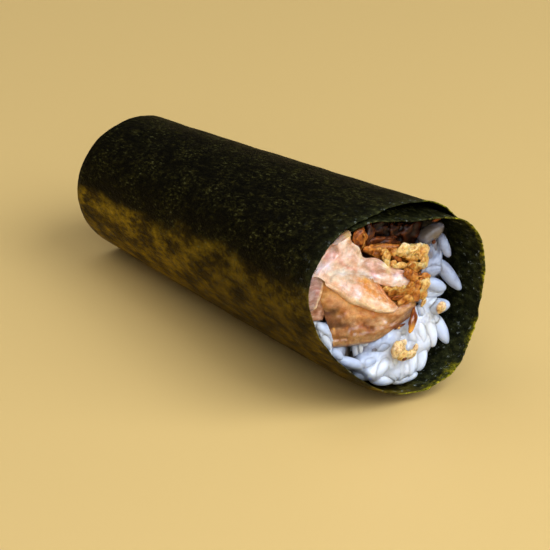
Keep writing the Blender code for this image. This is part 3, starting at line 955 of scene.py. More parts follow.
LOWER_SLAB = {
    "left": [(-16, 15.2), (-16.6, 18.2), (-18.4, 23.6), (-20.4, 28.4), (-20.6, 33)],
    "right": [(5.6, 16.9), (7, 18.8), (6.6, 20.9)],
    "bottom": [(-16, 15.2), (-12.8, 14.6), (-9.6, 14.1), (-4.6, 13.5), (0, 14.8), (5.6, 16.9)],
    "top": [(-20.6, 33), (-15, 31.4), (-9.2, 28.4), (-4.4, 24.8), (-0.4, 22.4), (2.8, 21), (6.6, 20.9)],
}
SIDE_STRIP = {
    "left": [(-23.6, 25.4), (-24, 28), (-23.8, 31.2), (-22.8, 35.4)],
    "right": [(-20.4, 26), (-19.4, 28.2), (-18.6, 30.6), (-18.6, 33.4)],
    "bottom": [(-23.6, 25.4), (-21.8, 25.6), (-20.4, 26)],
    "top": [(-22.8, 35.4), (-20.6, 35.4), (-18.6, 33.4)],
}
SIDE_KNOB = {
    "left": [(-22.6, 23.2), (-23.4, 24.6), (-23.6, 27.4)],
    "right": [(-18.8, 22.7), (-18.5, 24.4), (-19.4, 27.4)],
    "bottom": [(-22.6, 23.2), (-20.6, 22.9), (-18.8, 22.7)],
    "top": [(-23.6, 27.4), (-21.5, 27.8), (-19.4, 27.4)],
}

# Marks on the fish: a line on the face, its width, colour and strength. Those noted below are painted
# highlights and painted shade.
UPPER_MARKS = [
    ([(-22, 34), (-16, 33), (-8, 31)], 2.2, "#f0d9c8", 0.6),
    ([(-13, 42.8), (-12, 41.8), (-11.9, 40.4)], 1.1, "#edc677", 1),
    ([(-15.2, 40.6), (-13.6, 41.2)], 0.9, "#ead2b4", 0.8),
    ([(-13.6, 40), (-12.4, 38.4)], 1.1, "#f2e3d2", 0.8),
    # painted shade along the right edge of the tip
    ([(-11.3, 41.4), (-11.2, 39.2)], 0.45, "#a5784a", 0.8),
    ([(-17.4, 37.9), (-15.4, 36.6)], 0.9, "#dea294", 0.85),
    ([(-20, 35.8), (-18.8, 36.9)], 0.5, "#efdcc2", 0.8),
    # a painted highlight, white-lilac, on the top of the fold
    ([(-19.6, 35.3), (-17.4, 34.6)], 0.9, "#e8e2ec", 0.95),
    ([(-16, 35.4), (-13.5, 35), (-11.8, 34)], 0.9, "#f4e4d4", 0.8),
    ([(-14.4, 35.6), (-12.4, 33.9), (-10.6, 32.2)], 0.5, "#dfa696", 0.85),
    ([(-12.4, 33.2), (-9.6, 31.5)], 0.5, "#e0a999", 0.7),
    ([(-12.2, 38.2), (-11.7, 37.3)], 0.4, "#b0927a", 0.6),
    ([(-12, 36.8), (-9.8, 36.2)], 0.9, "#e4cfb8", 0.6),
    ([(-10.3, 38.6), (-9.1, 37), (-8.6, 35.4), (-8.1, 33.9)], 0.7, "#d9c3a4", 0.9),
    # a line of painted shade along the fold's right edge
    ([(-8.1, 36), (-7.6, 34.4), (-7, 33.2)], 0.35, "#ad8860", 0.75),
    ([(-16.8, 33.3), (-12.5, 32.1), (-9.5, 30.7)], 0.7, "#fbeee2", 0.85),
    ([(-18, 31.8), (-14, 30.9), (-10.5, 30), (-8, 29.4)], 1.1, "#efceb6", 0.9),
    ([(-6.6, 33.4), (-5, 31.8)], 1.1, "#cb9f92", 0.75),
    ([(-6.6, 34.1), (-4.4, 33.4)], 0.6, "#c2a281", 0.8),
    ([(-5.8, 30.8), (-4.4, 29.3)], 0.8, "#e7bcc3", 0.85),
    ([(-3.6, 32.3), (-2.6, 31), (-3, 29.4)], 0.8, "#bf978a", 0.8),
    ([(-2, 31.5), (-1.1, 30.1), (-0.4, 29)], 0.5, "#efdbae", 0.85),
    ([(-3.6, 28.5), (-0.4, 27.7)], 0.8, "#f4ddc8", 0.8),
    # a thin line of painted shade
    ([(-1.4, 29.2), (0.6, 28.9)], 0.35, "#d39a68", 0.7),
    ([(0.4, 28.6), (1.9, 28)], 0.6, "#c5a2a6", 0.8),
    # painted highlights: the wet shine at the fold's end and four small glints
    ([(0.8, 27.3), (2, 26.9), (3.4, 26.2)], 0.75, "#fffcff", 1),
    ([(-9.2, 33.3), (-8.7, 33)], 0.3, "#ffffff", 0.9),
    ([(-13.4, 33.9), (-12.9, 33.7)], 0.25, "#ffffff", 0.9),
    ([(-6.3, 29.4), (-5.8, 29.1)], 0.25, "#ffffff", 0.9),
    ([(-15.2, 37), (-14.8, 36.9)], 0.25, "#ffffff", 0.8),
    ([(-0.2, 26.4), (2.4, 25.5), (4.6, 25.1)], 0.5, "#f8e4d2", 0.8),
    ([(3.6, 27.8), (4.6, 26.6)], 0.5, "#b5694e", 0.8),
    ([(-7.8, 29.2), (-5.2, 27.8), (-3, 26.6), (0, 25.5)], 0.4, "#da9048", 0.85),
]
LOBE_MARKS = [
    ([(-17.6, 31.6), (-15.4, 29.8), (-13.4, 27.6)], 0.8, "#efcb96", 0.85),
    ([(-13.6, 27.2), (-11.2, 25.5), (-8.2, 24), (-5.6, 22.1), (-2.8, 20.6), (0.4, 19.7)],
     0.7, "#f8dfb2", 0.95),
    ([(-18, 32.4), (-14, 31), (-9.4, 29.6)], 2, "#efceb6", 0.95),
    ([(-12.8, 29), (-11, 26.8)], 1.2, "#e4c2b2", 0.85),
    ([(-9.8, 29.6), (-9, 27.6)], 0.8, "#edbdae", 0.7),
    # two painted highlights on the lobe
    ([(-9.8, 27.2), (-8.8, 26.2)], 0.5, "#f4e6ea", 0.85),
    ([(-10.2, 25.9), (-9.2, 25.4)], 0.4, "#faf0ee", 0.9),
    ([(-7.2, 25.6), (-4, 23.8), (-1, 22)], 0.8, "#f5cfa2", 0.85),
    ([(-5.6, 24), (-3.2, 22.4), (-0.6, 20.9)], 0.5, "#f8e2c4", 0.8),
    ([(-8.6, 29.4), (-6.8, 27.2), (-4.8, 25.3), (-2.4, 23.7), (0.4, 21.8)], 1, "#dc9440", 0.85),
    ([(-6.4, 30.2), (-4.2, 27.8), (-2.4, 25.8), (-0.4, 23.8), (1.4, 21.9)], 1.1, "#c87a2c", 0.95),
    ([(-7.2, 28.8), (-5.8, 26.9)], 0.8, "#e8a448", 0.9),
]
LOWER_MARKS = [
    ([(-17.6, 30.2), (-16.8, 27.6)], 0.9, "#dca55e", 0.9),
    ([(-14.8, 27.6), (-12.8, 26), (-11.2, 24.9)], 0.9, "#e0a055", 1),
    ([(-10.8, 24.2), (-7.8, 22.4), (-4.6, 20.6), (-1, 19)], 0.8, "#c47e36", 0.95),
    ([(-16.6, 27.2), (-15, 25.6), (-12.4, 24)], 1.3, "#cb935f", 0.9),
    ([(-19, 23.4), (-16.8, 21.9), (-14.6, 21)], 1.5, "#724216", 0.9),
    ([(-17, 25.9), (-14.6, 24.9)], 0.9, "#b9845a", 0.85),
    ([(-19.6, 28), (-18.8, 26)], 0.5, "#94561a", 0.9),
    ([(-19.2, 25), (-17.6, 24.1), (-15.8, 23.6)], 0.9, "#4e2205", 1),
    ([(-18.5, 22.4), (-15.6, 21.7), (-13.8, 21.5)], 1.1, "#703c12", 0.9),
    ([(-13.2, 23.6), (-10.8, 22.6)], 0.8, "#ba7d44", 0.7),
    ([(-13.4, 21.1), (-10.6, 20.3), (-8, 19.5)], 0.7, "#cd9f6c", 0.8),
    ([(-17, 20.7), (-15, 20), (-13.2, 19.6), (-11, 19.5)], 1.1, "#4c2003", 1),
    ([(-15.6, 19.5), (-15.4, 18.2)], 0.35, "#f6b352", 1),
    ([(-12.6, 22.4), (-9.4, 21.2), (-6.4, 20.2)], 1.1, "#d19c68", 0.85),
    ([(-11.4, 20.8), (-8.6, 20), (-5, 19.1), (-1, 18)], 0.9, "#d3a06a", 0.85),
    ([(-3.6, 20), (0, 19.2), (3.4, 18.4)], 0.7, "#d69f64", 0.85),
    ([(-10.4, 19.2), (-8.6, 18.9)], 0.7, "#cfa07c", 0.85),
    ([(-6.6, 18.9), (-5.2, 18.2)], 0.7, "#cd9f7a", 0.85),
    ([(-11.4, 17.9), (-8, 17.4)], 0.5, "#a56c3c", 0.8),
    ([(-5.4, 16.9), (-3, 16.2)], 0.6, "#a5703e", 0.8),
    ([(-15, 18.5), (-13.6, 18.7), (-12, 19)], 0.5, "#a4642a", 0.8),
    ([(-15.4, 18.2), (-12, 17.4), (-8.4, 16.8), (-5.4, 16.2)], 1.3, "#936638", 0.85),
    ([(-12.6, 15), (-8, 14.4), (-3, 15)], 1.1, "#9e7648", 0.85),
    ([(-9, 18.7), (-7.4, 17.2), (-6.2, 16.5)], 0.6, "#ab7048", 0.85),
    ([(-12.6, 18.4), (-10.2, 18.6)], 0.4, "#8c5426", 0.8),
    ([(-14.8, 16.4), (-12.6, 15.6), (-10, 15.4)], 0.35, "#93602f", 0.8),
    ([(-4.8, 15.2), (-1.6, 15.6), (1, 16.4)], 0.35, "#9a6134", 0.8),
    ([(-7.6, 18.6), (-6.4, 17.6), (-5, 16.4)], 0.6, "#8a4e20", 0.9),
    ([(-9, 20.8), (-4, 19.6), (1, 18.4)], 1.2, "#c2843f", 0.7),
    ([(-3, 16.4), (1, 16.6), (4, 17.4)], 0.7, "#b5834c", 0.8),
    # a pale patch, partly a painted highlight, and a painted glint on it
    ([(-4.4, 18.4), (-2, 17.6)], 0.8, "#e0bd94", 0.85),
    ([(-2.2, 17.9), (-1.6, 17.5)], 0.35, "#fbe6d8", 0.95),
    ([(-1, 18.9), (2, 18.7), (5, 19.6)], 0.7, "#cf9f68", 0.8),
    ([(1, 17.4), (4, 17.4), (5.8, 18.4)], 0.8, "#c09466", 0.85),
    ([(1.8, 20.2), (4.4, 19.9)], 0.6, "#b97831", 0.85),
    ([(0.2, 15.6), (2.4, 15.8), (4.8, 16.6)], 0.45, "#94501e", 0.95),
    ([(-15.8, 17.3), (-12.4, 16.3)], 0.35, "#a06e42", 0.85),
    ([(-16, 16.3), (-14, 15.5), (-11.6, 14.9)], 0.6, "#a07a4a", 0.9),
    ([(-11, 14.4), (-6, 14), (-2, 14.8)], 0.7, "#9f7d50", 0.85),
]
SIDE_MARKS = [
    ([(-21, 32.8), (-21.2, 31)], 0.9, "#a58079", 0.85),
    ([(-20.4, 30.6), (-20, 29.4)], 0.8, "#b07c72", 0.85),
    ([(-21.8, 29.2), (-21.6, 27)], 0.8, "#ab928c", 0.9),
    ([(-18.5, 31.4), (-19.1, 29.2), (-19.9, 27.4), (-20.7, 26.4)], 0.45, "#ecd0a8", 0.95),
    # a painted highlight at the strip's top
    ([(-21.6, 34.2), (-20.2, 33.7)], 0.5, "#e8dcd4", 0.8),
]
KNOB_MARKS = [
    ([(-21.4, 24.8), (-20, 24)], 0.7, "#bd9176", 0.8),
    ([(-19.1, 26.4), (-18.9, 24.8), (-18.9, 23.4)], 0.3, "#71401a", 0.9),
    ([(-19.6, 23.4), (-19.8, 24.8)], 0.4, "#c9a696", 0.7),
    ([(-22.4, 26), (-21, 26.4)], 0.4, "#876044", 0.8),
]
# Creases and swells of the fish: a line on the face, its width, and how far the
# surface stands forward there.
UPPER_RELIEF = [
    ([(-17.5, 36.5), (-11, 35), (-6, 31.5)], 1.8, 0.5),
    ([(-12, 38.5), (-8.6, 34.6)], 0.8, -0.5),
    ([(-9, 32.6), (-4.4, 29.8), (-1.5, 29.2)], 0.7, -0.45),
    ([(-3, 28), (1, 27), (5, 25.9)], 1.1, 0.3),
    ([(-15.5, 30.6), (-12.5, 29.4), (-8.6, 28.8)], 2.6, -0.4),
]
LOBE_RELIEF = [
    ([(-14, 28.9), (-9.8, 25.9), (-5.8, 22.9), (-1.6, 20.6)], 1, 0.35),
    ([(-12, 30.2), (-7.6, 27.2), (-3.6, 24.4)], 0.8, -0.25),
    ([(-18.4, 30.8), (-18, 34)], 1.6, -0.4),
]
LOWER_RELIEF = [
    ([(-18.6, 25.4), (-16.6, 23.6), (-13.6, 22.8)], 0.8, -0.4),
    ([(-17.4, 20.3), (-14.4, 19.7), (-11.6, 20.1), (-6, 18.2), (-1, 17.4)], 0.8, -0.35),
    ([(-15.5, 27), (-13.4, 24.6)], 1.8, 0.6),
    ([(-11.6, 18.8), (-9.6, 18.6)], 0.5, -0.5),
    ([(-7.4, 18.8), (-5.2, 16.4)], 0.5, -0.6),
    ([(-3.2, 16.6), (1.4, 17)], 0.5, -0.4),
    ([(-12.5, 22), (-6, 20), (0, 18.6)], 1, 0.5),
    ([(-14.5, 17), (-8, 16), (-2, 16.2)], 1.2, 0.35),
    ([(-15.8, 17.2), (-12.4, 16.4)], 0.4, -0.4),
    ([(-10.5, 17.2), (-7, 16.6), (-3.6, 17)], 0.5, -0.4),
    ([(2, 18.4), (5.5, 19)], 1, 0.4),
]


MARK_WANDER = 0.7               # how far a mark wanders off its line, in millimetres
FISH_LUMPS = (0.24, 0.16)       # how high the fish's own lumps are, broad and small
RIM_SPARE = 0.5 * MM            # how far behind the rim the fish stays at the wall
FOLD_DEPTH = 40                 # length of a fold's own surface through the roll


def patch_point(patch, u, v):
    """A point of a patch: u runs from left to right and v from bottom to top."""
    left, right = curve_at(patch["left"], v), curve_at(patch["right"], v)
    bottom, top = curve_at(patch["bottom"], u), curve_at(patch["top"], u)
    low = Vector(patch["bottom"][0]).lerp(Vector(patch["bottom"][-1]), u)
    high = Vector(patch["top"][0]).lerp(Vector(patch["top"][-1]), u)
    return bottom.lerp(top, v) + left.lerp(right, u) - low.lerp(high, v)


def patch_size(patch):
    """Length and width of a patch through its middle, in millimetres."""
    across = [patch_point(patch, step / 12, 0.5) for step in range(13)]
    upward = [patch_point(patch, 0.5, step / 12) for step in range(13)]
    return [sum((b - a).length for a, b in zip(line, line[1:])) for line in (across, upward)]


def set_back_at(distance, radius):
    """How far a rounded edge lies behind the face at this distance from it."""
    if distance >= radius:
        return 0.0
    return radius - math.sqrt(max(radius * radius - (radius - distance) ** 2, 0.0))


def relief_at(x, z, relief):
    return sum(height * nearness(x, z, line, width) for line, width, height in relief)


def marked(x, z, base, marks):
    """The colour at a point of the face: the base with every mark laid over it."""
    colour = Vector(linear(base))
    wobble_x, wobble_z = (value + MARK_WANDER * noise.noise(Vector((x * 0.6, z * 0.6, layer)))
                          for value, layer in ((x, 0), (z, 7)))
    for line, width, hex_code, strength in marks:
        colour = colour.lerp(Vector(linear(hex_code)), strength * nearness(wobble_x, wobble_z, line, width))
    return colour


def tucked(y, x, z):
    """y, but no further forward than the sheet's rim close to the wall."""
    radius, angle = polar(x, z, FACE_Y)
    from_wall = max(room_radius(angle, FACE_Y) - radius, 0.0)
    return max(y, rim_edge(angle) + RIM_SPARE - 0.7 * from_wall)


def fold_mesh(patch, base, marks, relief, steps, rounding, front, lean):
    """One fold of fish through the whole roll, rounded at both of its ends.

    rounding gives each side's edge radius where that side starts and ends, 0 where
    the fold is tucked under its neighbour. front is how far its face stands forward
    at the patch's middle, and lean how much further back it lies for each unit up.
    """
    bm = lattice(steps)
    tint = bm.verts.layers.float_color.new("tint")
    length, width = patch_size(patch)
    broad, small = FISH_LUMPS
    middle = patch_point(patch, 0.5, 0.5)
    flat = {}
    for vert in bm.verts:
        a, b, c = (math.sin(value * math.pi / 2) for value in vert.co)
        u, v = (a + 1) / 2, (b + 1) / 2
        x, z = patch_point(patch, u, v)
        reaches = {"left": (u * length, v), "right": ((1 - u) * length, v),
                   "bottom": (v * width, u), "top": ((1 - v) * width, u)}
        bulge = 0.0
        for side, (reach, place) in reaches.items():
            start, end = rounding[side]
            bulge = max(bulge, set_back_at(reach, start + (end - start) * ease(place, 0.2, 0.7)))
        lift = relief_at(x, z, relief) * (1 - ease(bulge, 0, 1.0))
        lumpy = (broad * noise.noise(Vector((x * 0.45, z * 0.45, 1.5)))
                 + small * noise.noise(Vector((x, z, 4))))
        near = FACE_Y + (bulge - front + lean * (z - middle.y) - lift - lumpy) * MM
        near = tucked(near, x * MM, z * MM)
        far = FAR_FACE_Y - (bulge + 0.4 * lumpy) * MM
        share = (c + 1) / 2
        y = near + (far - near) * share
        point = behind(x * MM, z * MM, y)
        point = along_roll(point.x, point.z, y)
        # its own surface in metres, with what runs back through the roll laid out beside
        flat[vert] = (u * length * MM, (v * width + share * FOLD_DEPTH) * MM)
        vert[tint] = marked(x, z, base, marks)
        vert.co = kept_in(point, -0.3 * MM) + CENTRING
    map_surface(bm, "fold", flat)
    # the lattice's near face turns away from the mouth's face, so it is turned round
    bmesh.ops.recalc_face_normals(bm, faces=bm.faces)
    return bm


# The pieces of fish: the name, slot and node, the finish that oily_fish makes, and
# the folds that fold_mesh makes.
FISH = [
    ("fish_upper_folds", "fish_pink", "fish_upper",
     ("oily_fish_pink", "#f8ebe2", "#ecd0bc", 0.55, 0.32, 0.5), [
         (UPPER_FOLD, "#dcb6a0", UPPER_MARKS, UPPER_RELIEF, (120, 60, 26),
          {"left": (0, 0), "right": (0.7, 0.7), "bottom": (0, 0.5), "top": (0.5, 0.5)}, 1.25, 0.03),
         (LOWER_LOBE, "#e0b798", LOBE_MARKS, LOBE_RELIEF, (96, 40, 26),
          {"left": (0, 0), "right": (0.9, 0.9), "bottom": (1.2, 0.9), "top": (0, 0.4)}, 1.45, 0.06)]),
    ("fish_lower_slab", "fish_tan", "fish_lower",
     ("oily_fish_seared", "#dcb888", "#d0a878", 0.35, 0.34, 0.3), [
         (LOWER_SLAB, "#aa7a3a", LOWER_MARKS, LOWER_RELIEF, (120, 76, 26),
          {"left": (0.5, 0), "right": (1.4, 1.4), "bottom": (1.0, 1.2), "top": (0, 0)}, 0.6, 0.03)]),
    ("fish_side_strip", "fish_mauve", "fish_side",
     ("oily_fish_mauve", "#d8c4be", "#c89c84", 0.35, 0.32, 0.4), [
         (SIDE_STRIP, "#907064", SIDE_MARKS, [], (30, 48, 22),
          {"left": (0, 0), "right": (0.9, 0.9), "bottom": (0.5, 0.5), "top": (0, 0)}, 0.8, 0.06),
         (SIDE_KNOB, "#946442", KNOB_MARKS, [], (28, 28, 22),
          {"left": (0, 0), "right": (0.8, 0.8), "bottom": (0.8, 0.8), "top": (0, 0)}, 0.8, 0)]),
]


def add_fish():
    for name, slot_name, node, finish, folds in FISH:
        bm = bmesh.new()
        bm.verts.layers.float_color.new("tint")
        bm.loops.layers.uv.new("fold")
        for fold in folds:
            pour(fold_mesh(*fold), bm)
        piece(name, bm, oily_fish(*finish), node)


# ------------------------------------------------------------------ fried onion

SHRED_SIDES = 10
SHRED_STEPS = 20
LUMP_DETAIL = 4                 # subdivisions of a lump's ball
LUMP_FULLNESS = 1.2             # how far lumps run into each other
CRUMB_RUGGED = 0.5              # how rugged a loose crumb is beside the crust
# The crust's ridges, the puckers between them and its blisters: how close, how high.
RIDGES = (0.42, 0.22)
PUCKERS = (0.75, 0.30)
BLISTERS = (1.9, 0.12)
FAR_LUMPS = 9                   # lumps of crust at the far end of a strip
ONION_SHADES = ["#efdcbc", "#dfc07c", "#cc9c50", "#b8752a", "#8c4c16", "#502407", "#1a0c04"]

# Lumps of crust that show at the mouth: the centre as drawn on the face (x, z) and
# how far it stands forward, half its width and height, its turn in degrees, and
# its tone, from 0 pale to 1 dark.
TOP_LUMPS = [
    ((3.4, 33.4, 0.4), (2.1, 1.2), -14, 0.05),
    ((6.2, 32.8, 0.8), (2, 1.2), -5, 0.03),
    ((8.2, 31.7, 0.9), (1.5, 1.5), -40, 0.08),
    ((8.9, 29.7, 0.9), (1, 1.6), 10, 0.14),
    ((8, 28.6, 1), (1.3, 0.8), 20, 0.12),
    ((6, 31.1, 0.8), (2, 0.8), -12, 0.28),
    ((4.4, 31.9, 0.5), (1.8, 0.6), -20, 0.28),
    ((2.2, 30.1, 1), (1.9, 0.6), -12, 0.14),
    ((0.4, 30.9, 0.8), (1, 0.8), -40, 0.22),
    ((-1.2, 31.2, 0.5), (0.7, 1.7), 25, 0),
    ((-1.4, 33.4, 0.1), (1, 1.3), 20, 0.22),
    ((0.6, 34, 0.1), (1.1, 1), -30, 0.25),
    ((1.2, 32, 0), (1.7, 0.6), -42, 0.72),
    ((3.6, 29.6, 0.4), (0.8, 0.5), 25, 0.9),
    ((5.8, 29.3, 1), (1.6, 0.8), -25, 0.28),
    ((6.8, 28.3, 0.9), (0.9, 1), 0, 0.22),
    ((4.4, 28.4, 0.9), (0.9, 0.6), -20, 0.40),
    ((4.9, 27.2, 1.5), (1.3, 1.1), -30, 0.58),
    ((6.1, 26.2, 1.6), (1, 1.5), 20, 0.40),
    ((5.6, 24.9, 1.5), (1.2, 0.8), 20, 0.34),
    ((-5.4, 36.2, -0.4), (2.6, 0.7), -14, 0.46),
    ((-3.4, 35.4, -0.2), (1.3, 0.6), -20, 0.34),
    ((-2.4, 34.6, -0.2), (0.9, 0.9), 0, 0.40),
]
FRONT_LUMPS = [
    ((9, 25.4, 0.8), (1.4, 0.9), -10, 0.42),
    ((9.3, 23.4, 1), (1.2, 1.5), 0, 0.14),
    ((8.8, 21.6, 1), (1.1, 1.3), 10, 0.16),
    ((9, 19.4, 1), (0.6, 0.9), -20, 0.12),
    ((7.4, 24, 0.8), (1, 1.7), 10, 0.38),
    ((7, 21.8, 0.9), (1.2, 1.3), 0, 0.42),
    ((5.4, 23.6, 0.4), (1.5, 1.2), 0, 0.36),
    ((3, 23.8, 0.2), (2.1, 1), -10, 0.35),
    ((0.6, 24.4, 0), (2.3, 1), -14, 0.44),
    ((-2, 25.3, -0.3), (1.8, 0.7), -20, 0.34),
    ((4.4, 21.4, 0.6), (2.4, 1), -4, 0.32),
    ((2.4, 22.4, 0.4), (1.8, 0.7), -10, 0.46),
    ((-0.8, 25.3, 0.3), (1.9, 0.7), -22, 0.22),
    ((2.2, 25, 0.5), (2, 0.7), -8, 0.20),
    ((4.8, 25, 0.7), (1.3, 0.7), 0, 0.18),
    ((-1.6, 23.8, 0.7), (1.7, 0.35), -30, 0.66),
    ((1.8, 22.7, 1.1), (1.5, 0.3), -10, 0.56),
]
# Lumps deep in the top of the mouth: browned onion, near black partly as painted shade of the cavity.
DARK_LUMPS = [
    ((-8.8, 39.6, -1.6), (1.5, 2.8), 0, 0.66),
    ((-6.2, 38.8, -2.6), (1.4, 2.6), 0, 0.92),
    ((-3, 37.6, -2), (3.6, 0.9), -10, 0.84),
    ((-1, 36.4, -1.6), (2.4, 0.8), -12, 0.84),
    ((-3.6, 40.2, -4), (3, 1.8), 0, 0.98),
    ((0.2, 38.8, -3.4), (2.4, 1.8), 0, 0.95),
    ((4.4, 37.6, -3.8), (3.4, 2.6), 0, 0.97),
]
CRUMB_LUMPS = [
    # a curl lying on the rice
    ((1.9, 9.8, 3.6), (1.8, 2), 20, -0.08),
    ((3, 10.9, 3.4), (1.2, 0.9), 0, -0.10),
    ((3.2, 8, 3.9), (1.7, 1.2), -15, 0.03),
    ((5.2, 7.7, 3.8), (1.7, 1), 5, -0.03),
    ((6.6, 8.6, 3.6), (0.7, 1.2), -10, -0.06),
    ((3.6, 7.1, 4.6), (0.6, 0.35), 0, 0.80),
    # crumbs beside it
    ((13.8, 16.9, 3.4), (1.3, 1.3), 0, -0.12),
    ((11.6, 33.4, 0.6), (0.5, 0.5), 0, 0.8),
    ((12.4, 38.6, -0.4), (1.2, 0.4), 5, 0.6),
    ((2.2, 15.3, 1.6), (1.5, 0.35), 10, 0.7),
    ((2.1, 15, 1.9), (0.4, 0.3), 0, 0.2),
]
# Shreds: the centre of the arc they are bent round, as a lump's centre; the arc's
# radius, where it starts and ends, the breadth forward, the thickness and the tone.
TOP_SHREDS = [
    ((-3.6, 33.6, -0.1), 2.2, 150, 60, 1.2, 0.5, 0.55),
    ((6.4, 30.6, 1.9), 1.5, 160, 20, 0.9, 0.5, 0.14),
    ((5.6, 28.6, 1.6), 1.3, 150, -30, 0.8, 0.4, 0.10),
]
FRONT_SHREDS = [
    ((3.4, 27, 0.9), 3.4, 225, 315, 1, 0.6, 0.30),
    ((7.4, 24.2, 1.6), 1.8, 110, -40, 0.9, 0.5, 0.40),
]
# shreds in the cavity, darkened partly as painted shade
DARK_SHREDS = [
    ((-3.4, 34.8, -2.2), 2.8, 130, 40, 1.8, 0.7, 0.55),
    ((-1, 34.9, -2), 2.6, 120, 30, 1.8, 0.6, 0.85),
    ((-9.8, 38.8, -0.9), 2.4, 60, -60, 1.4, 0.5, 0.35),
    ((1.6, 36.4, -2.4), 1.8, 240, 340, 1.4, 0.6, 0.8),
]


def onion_colour(tone, lump):
    """From pale gold through amber to dark brown, darker in the hollows, partly as browning and partly as
    painted shade.
    """
    position = clamp(1 + 5 * (tone + 0.22 * lump), 0, len(ONION_SHADES) - 1)
    index = min(int(position), len(ONION_SHADES) - 2)
    paler, darker = (Vector(linear(shade)) for shade in ONION_SHADES[index:index + 2])
    return paler.lerp(darker, position - index)


def at_end(x, z, forward, far):
    """The place in the roll of a point drawn on the face at the mouth or far end."""
    if far:
        return kept_in(Vector((x * MM, FAR_FACE_Y + forward * MM, z * MM)), 0.3 * MM) + CENTRING
    return in_mouth(x, z, forward, 0.2)


def add_shred(bm, shred, dice):
    """One curled shred: a flat strand bent round an arc, blistered and tapering."""
    (x, z, forward), radius, start, end, breadth, thickness, tone = shred
    strand = bmesh.new()
    bmesh.ops.create_cone(strand, cap_ends=True, segments=SHRED_SIDES, radius1=1, radius2=1, depth=2)
    cut_along(strand, 2, SHRED_STEPS)
    tint = strand.verts.layers.float_color.new("tint")
    seed = Vector([dice.uniform(0, 50) for _ in range(3)])
    wander = dice.uniform(-0.5, 0.5)
    for vert in strand.verts:
        side, depth, along = vert.co
        share = (along + 1) / 2
        taper = math.sqrt(max(1 - abs(along) ** 3.5, 0.06))
        turn = math.radians(start + (end - start) * share)
        bent = radius * (1 + 0.14 * noise.noise(seed + Vector((share * 2.5, 0, 0))))
        lump = noise.noise(seed + Vector((side * 0.8, depth * 0.8, share * radius * 1.9)))
        fine = noise.noise(seed + Vector((side * 2.2, depth * 2.2, share * radius * 4.5)))
        swell = taper * (1 + 0.5 * lump + 0.3 * fine)
        reach = bent + side * thickness / 2 * swell
        out = forward + depth * breadth / 2 * swell + wander * along
        vert[tint] = onion_colour(tone, -lump)
        vert.co = at_end(x + reach * math.cos(turn), z + reach * math.sin(turn), out, False)
    pour(strand, bm)


def add_lump(bm, lump, far=False, rugged=1.0):
    """One lump of crust: a ball puckered into ridges and hollows, which run on from
    one lump into the next."""
    (x, z, forward), (half_wide, half_high), turn, tone = lump
    ball = bmesh.new()
    bmesh.ops.create_icosphere(ball, subdivisions=LUMP_DETAIL, radius=1)
    tint = ball.verts.layers.float_color.new("tint")
    cos, sin = math.cos(math.radians(turn)), math.sin(math.radians(turn))
    half_deep = 0.6 * min(half_wide, half_high) + 0.3
    size = (1 + (LUMP_FULLNESS - 1) * rugged) * Vector((half_wide, half_deep, half_high))
    for vert in ball.verts:
        wide, deep, high = (vert.co[axis] * size[axis] for axis in range(3))
        place = Vector((x + wide * cos - high * sin, forward + deep, z + wide * sin + high * cos))
        ridge = 1 - 2 * abs(noise.noise(place * RIDGES[0]))
        pucker = noise.noise(place * PUCKERS[0])
        fine = noise.noise(place * BLISTERS[0])
        swell = 1 + rugged * (RIDGES[1] * ridge + PUCKERS[1] * pucker + BLISTERS[1] * fine - 0.06)
        wide, deep, high = wide * swell, deep * swell, high * swell
        # darker in the hollows between the ridges, partly as painted shade
        vert[tint] = onion_colour(tone, rugged * (0.4 - 0.8 * ridge - 0.9 * pucker - 0.7 * fine))
        vert.co = at_end(x + wide * cos - high * sin, z + wide * sin + high * cos, forward + deep, far)
    pour(ball, bm)


def onion_strip(node, lumps, shreds, set_back, seed, tone):
    """The crust at both ends of a strip of onion, over a core through the roll."""
    dice = random.Random(seed)
    bm = merged_copy(node)
    # the strip is narrower at the far end: its middle there is that of its last points
    tail = [vert.co - CENTRING for vert in bm.verts if vert.co.y > FAR_FACE_Y]
    middle = sum(tail, Vector()) / len(tail) / MM
    shorten(bm, set_back)
    tint = bm.verts.layers.float_color.new("tint")
    for vert in bm.verts:
        vert[tint] = onion_colour(tone, rough(*vert.co, 1.5 * MM))
    for lump in lumps:
        add_lump(bm, lump)
    for shred in shreds:
        add_shred(bm, shred, dice)
    for _ in range(FAR_LUMPS):
        place = (middle.x + dice.uniform(-2.6, 2.6), middle.z + dice.uniform(-1.6, 1.6),
                 dice.uniform(-1.2, 0.4))
        add_lump(bm, (place, (dice.uniform(1.0, 1.9), dice.uniform(0.7, 1.2)), dice.uniform(-40, 40),
                      clamp(tone + dice.uniform(-0.3, 0.3))), far=True)
    bmesh.ops.recalc_face_normals(bm, faces=bm.faces)
    return bm


def add_onion():
    crust = crisp_onion()
    for part, slot_name, lumps, shreds, set_back, seed, tone in (
            ("top", "fried_onion", TOP_LUMPS, TOP_SHREDS, 1.6 * MM, 3, 0.45),
            ("front", "fried_onion", FRONT_LUMPS, FRONT_SHREDS, 1.6 * MM, 5, 0.45),
            # the inner strip is near black, partly as painted shade
            ("inner", "dark_onion", DARK_LUMPS, DARK_SHREDS, 0.6 * MM, 7, 0.9)):
        strip = onion_strip("fried_onion_" + part, lumps, shreds, set_back, seed, tone)
        piece("onion_" + part + "_crust", strip, crust, "fried_onion_" + part)
    bm = bmesh.new()
    bm.verts.layers.float_color.new("tint")
    for lump in CRUMB_LUMPS:
        add_lump(bm, lump, rugged=CRUMB_RUGGED)
    bmesh.ops.recalc_face_normals(bm, faces=bm.faces)
    piece("onion_crumbs", bm, crust)


# ------------------------------------------------------------------------ glaze

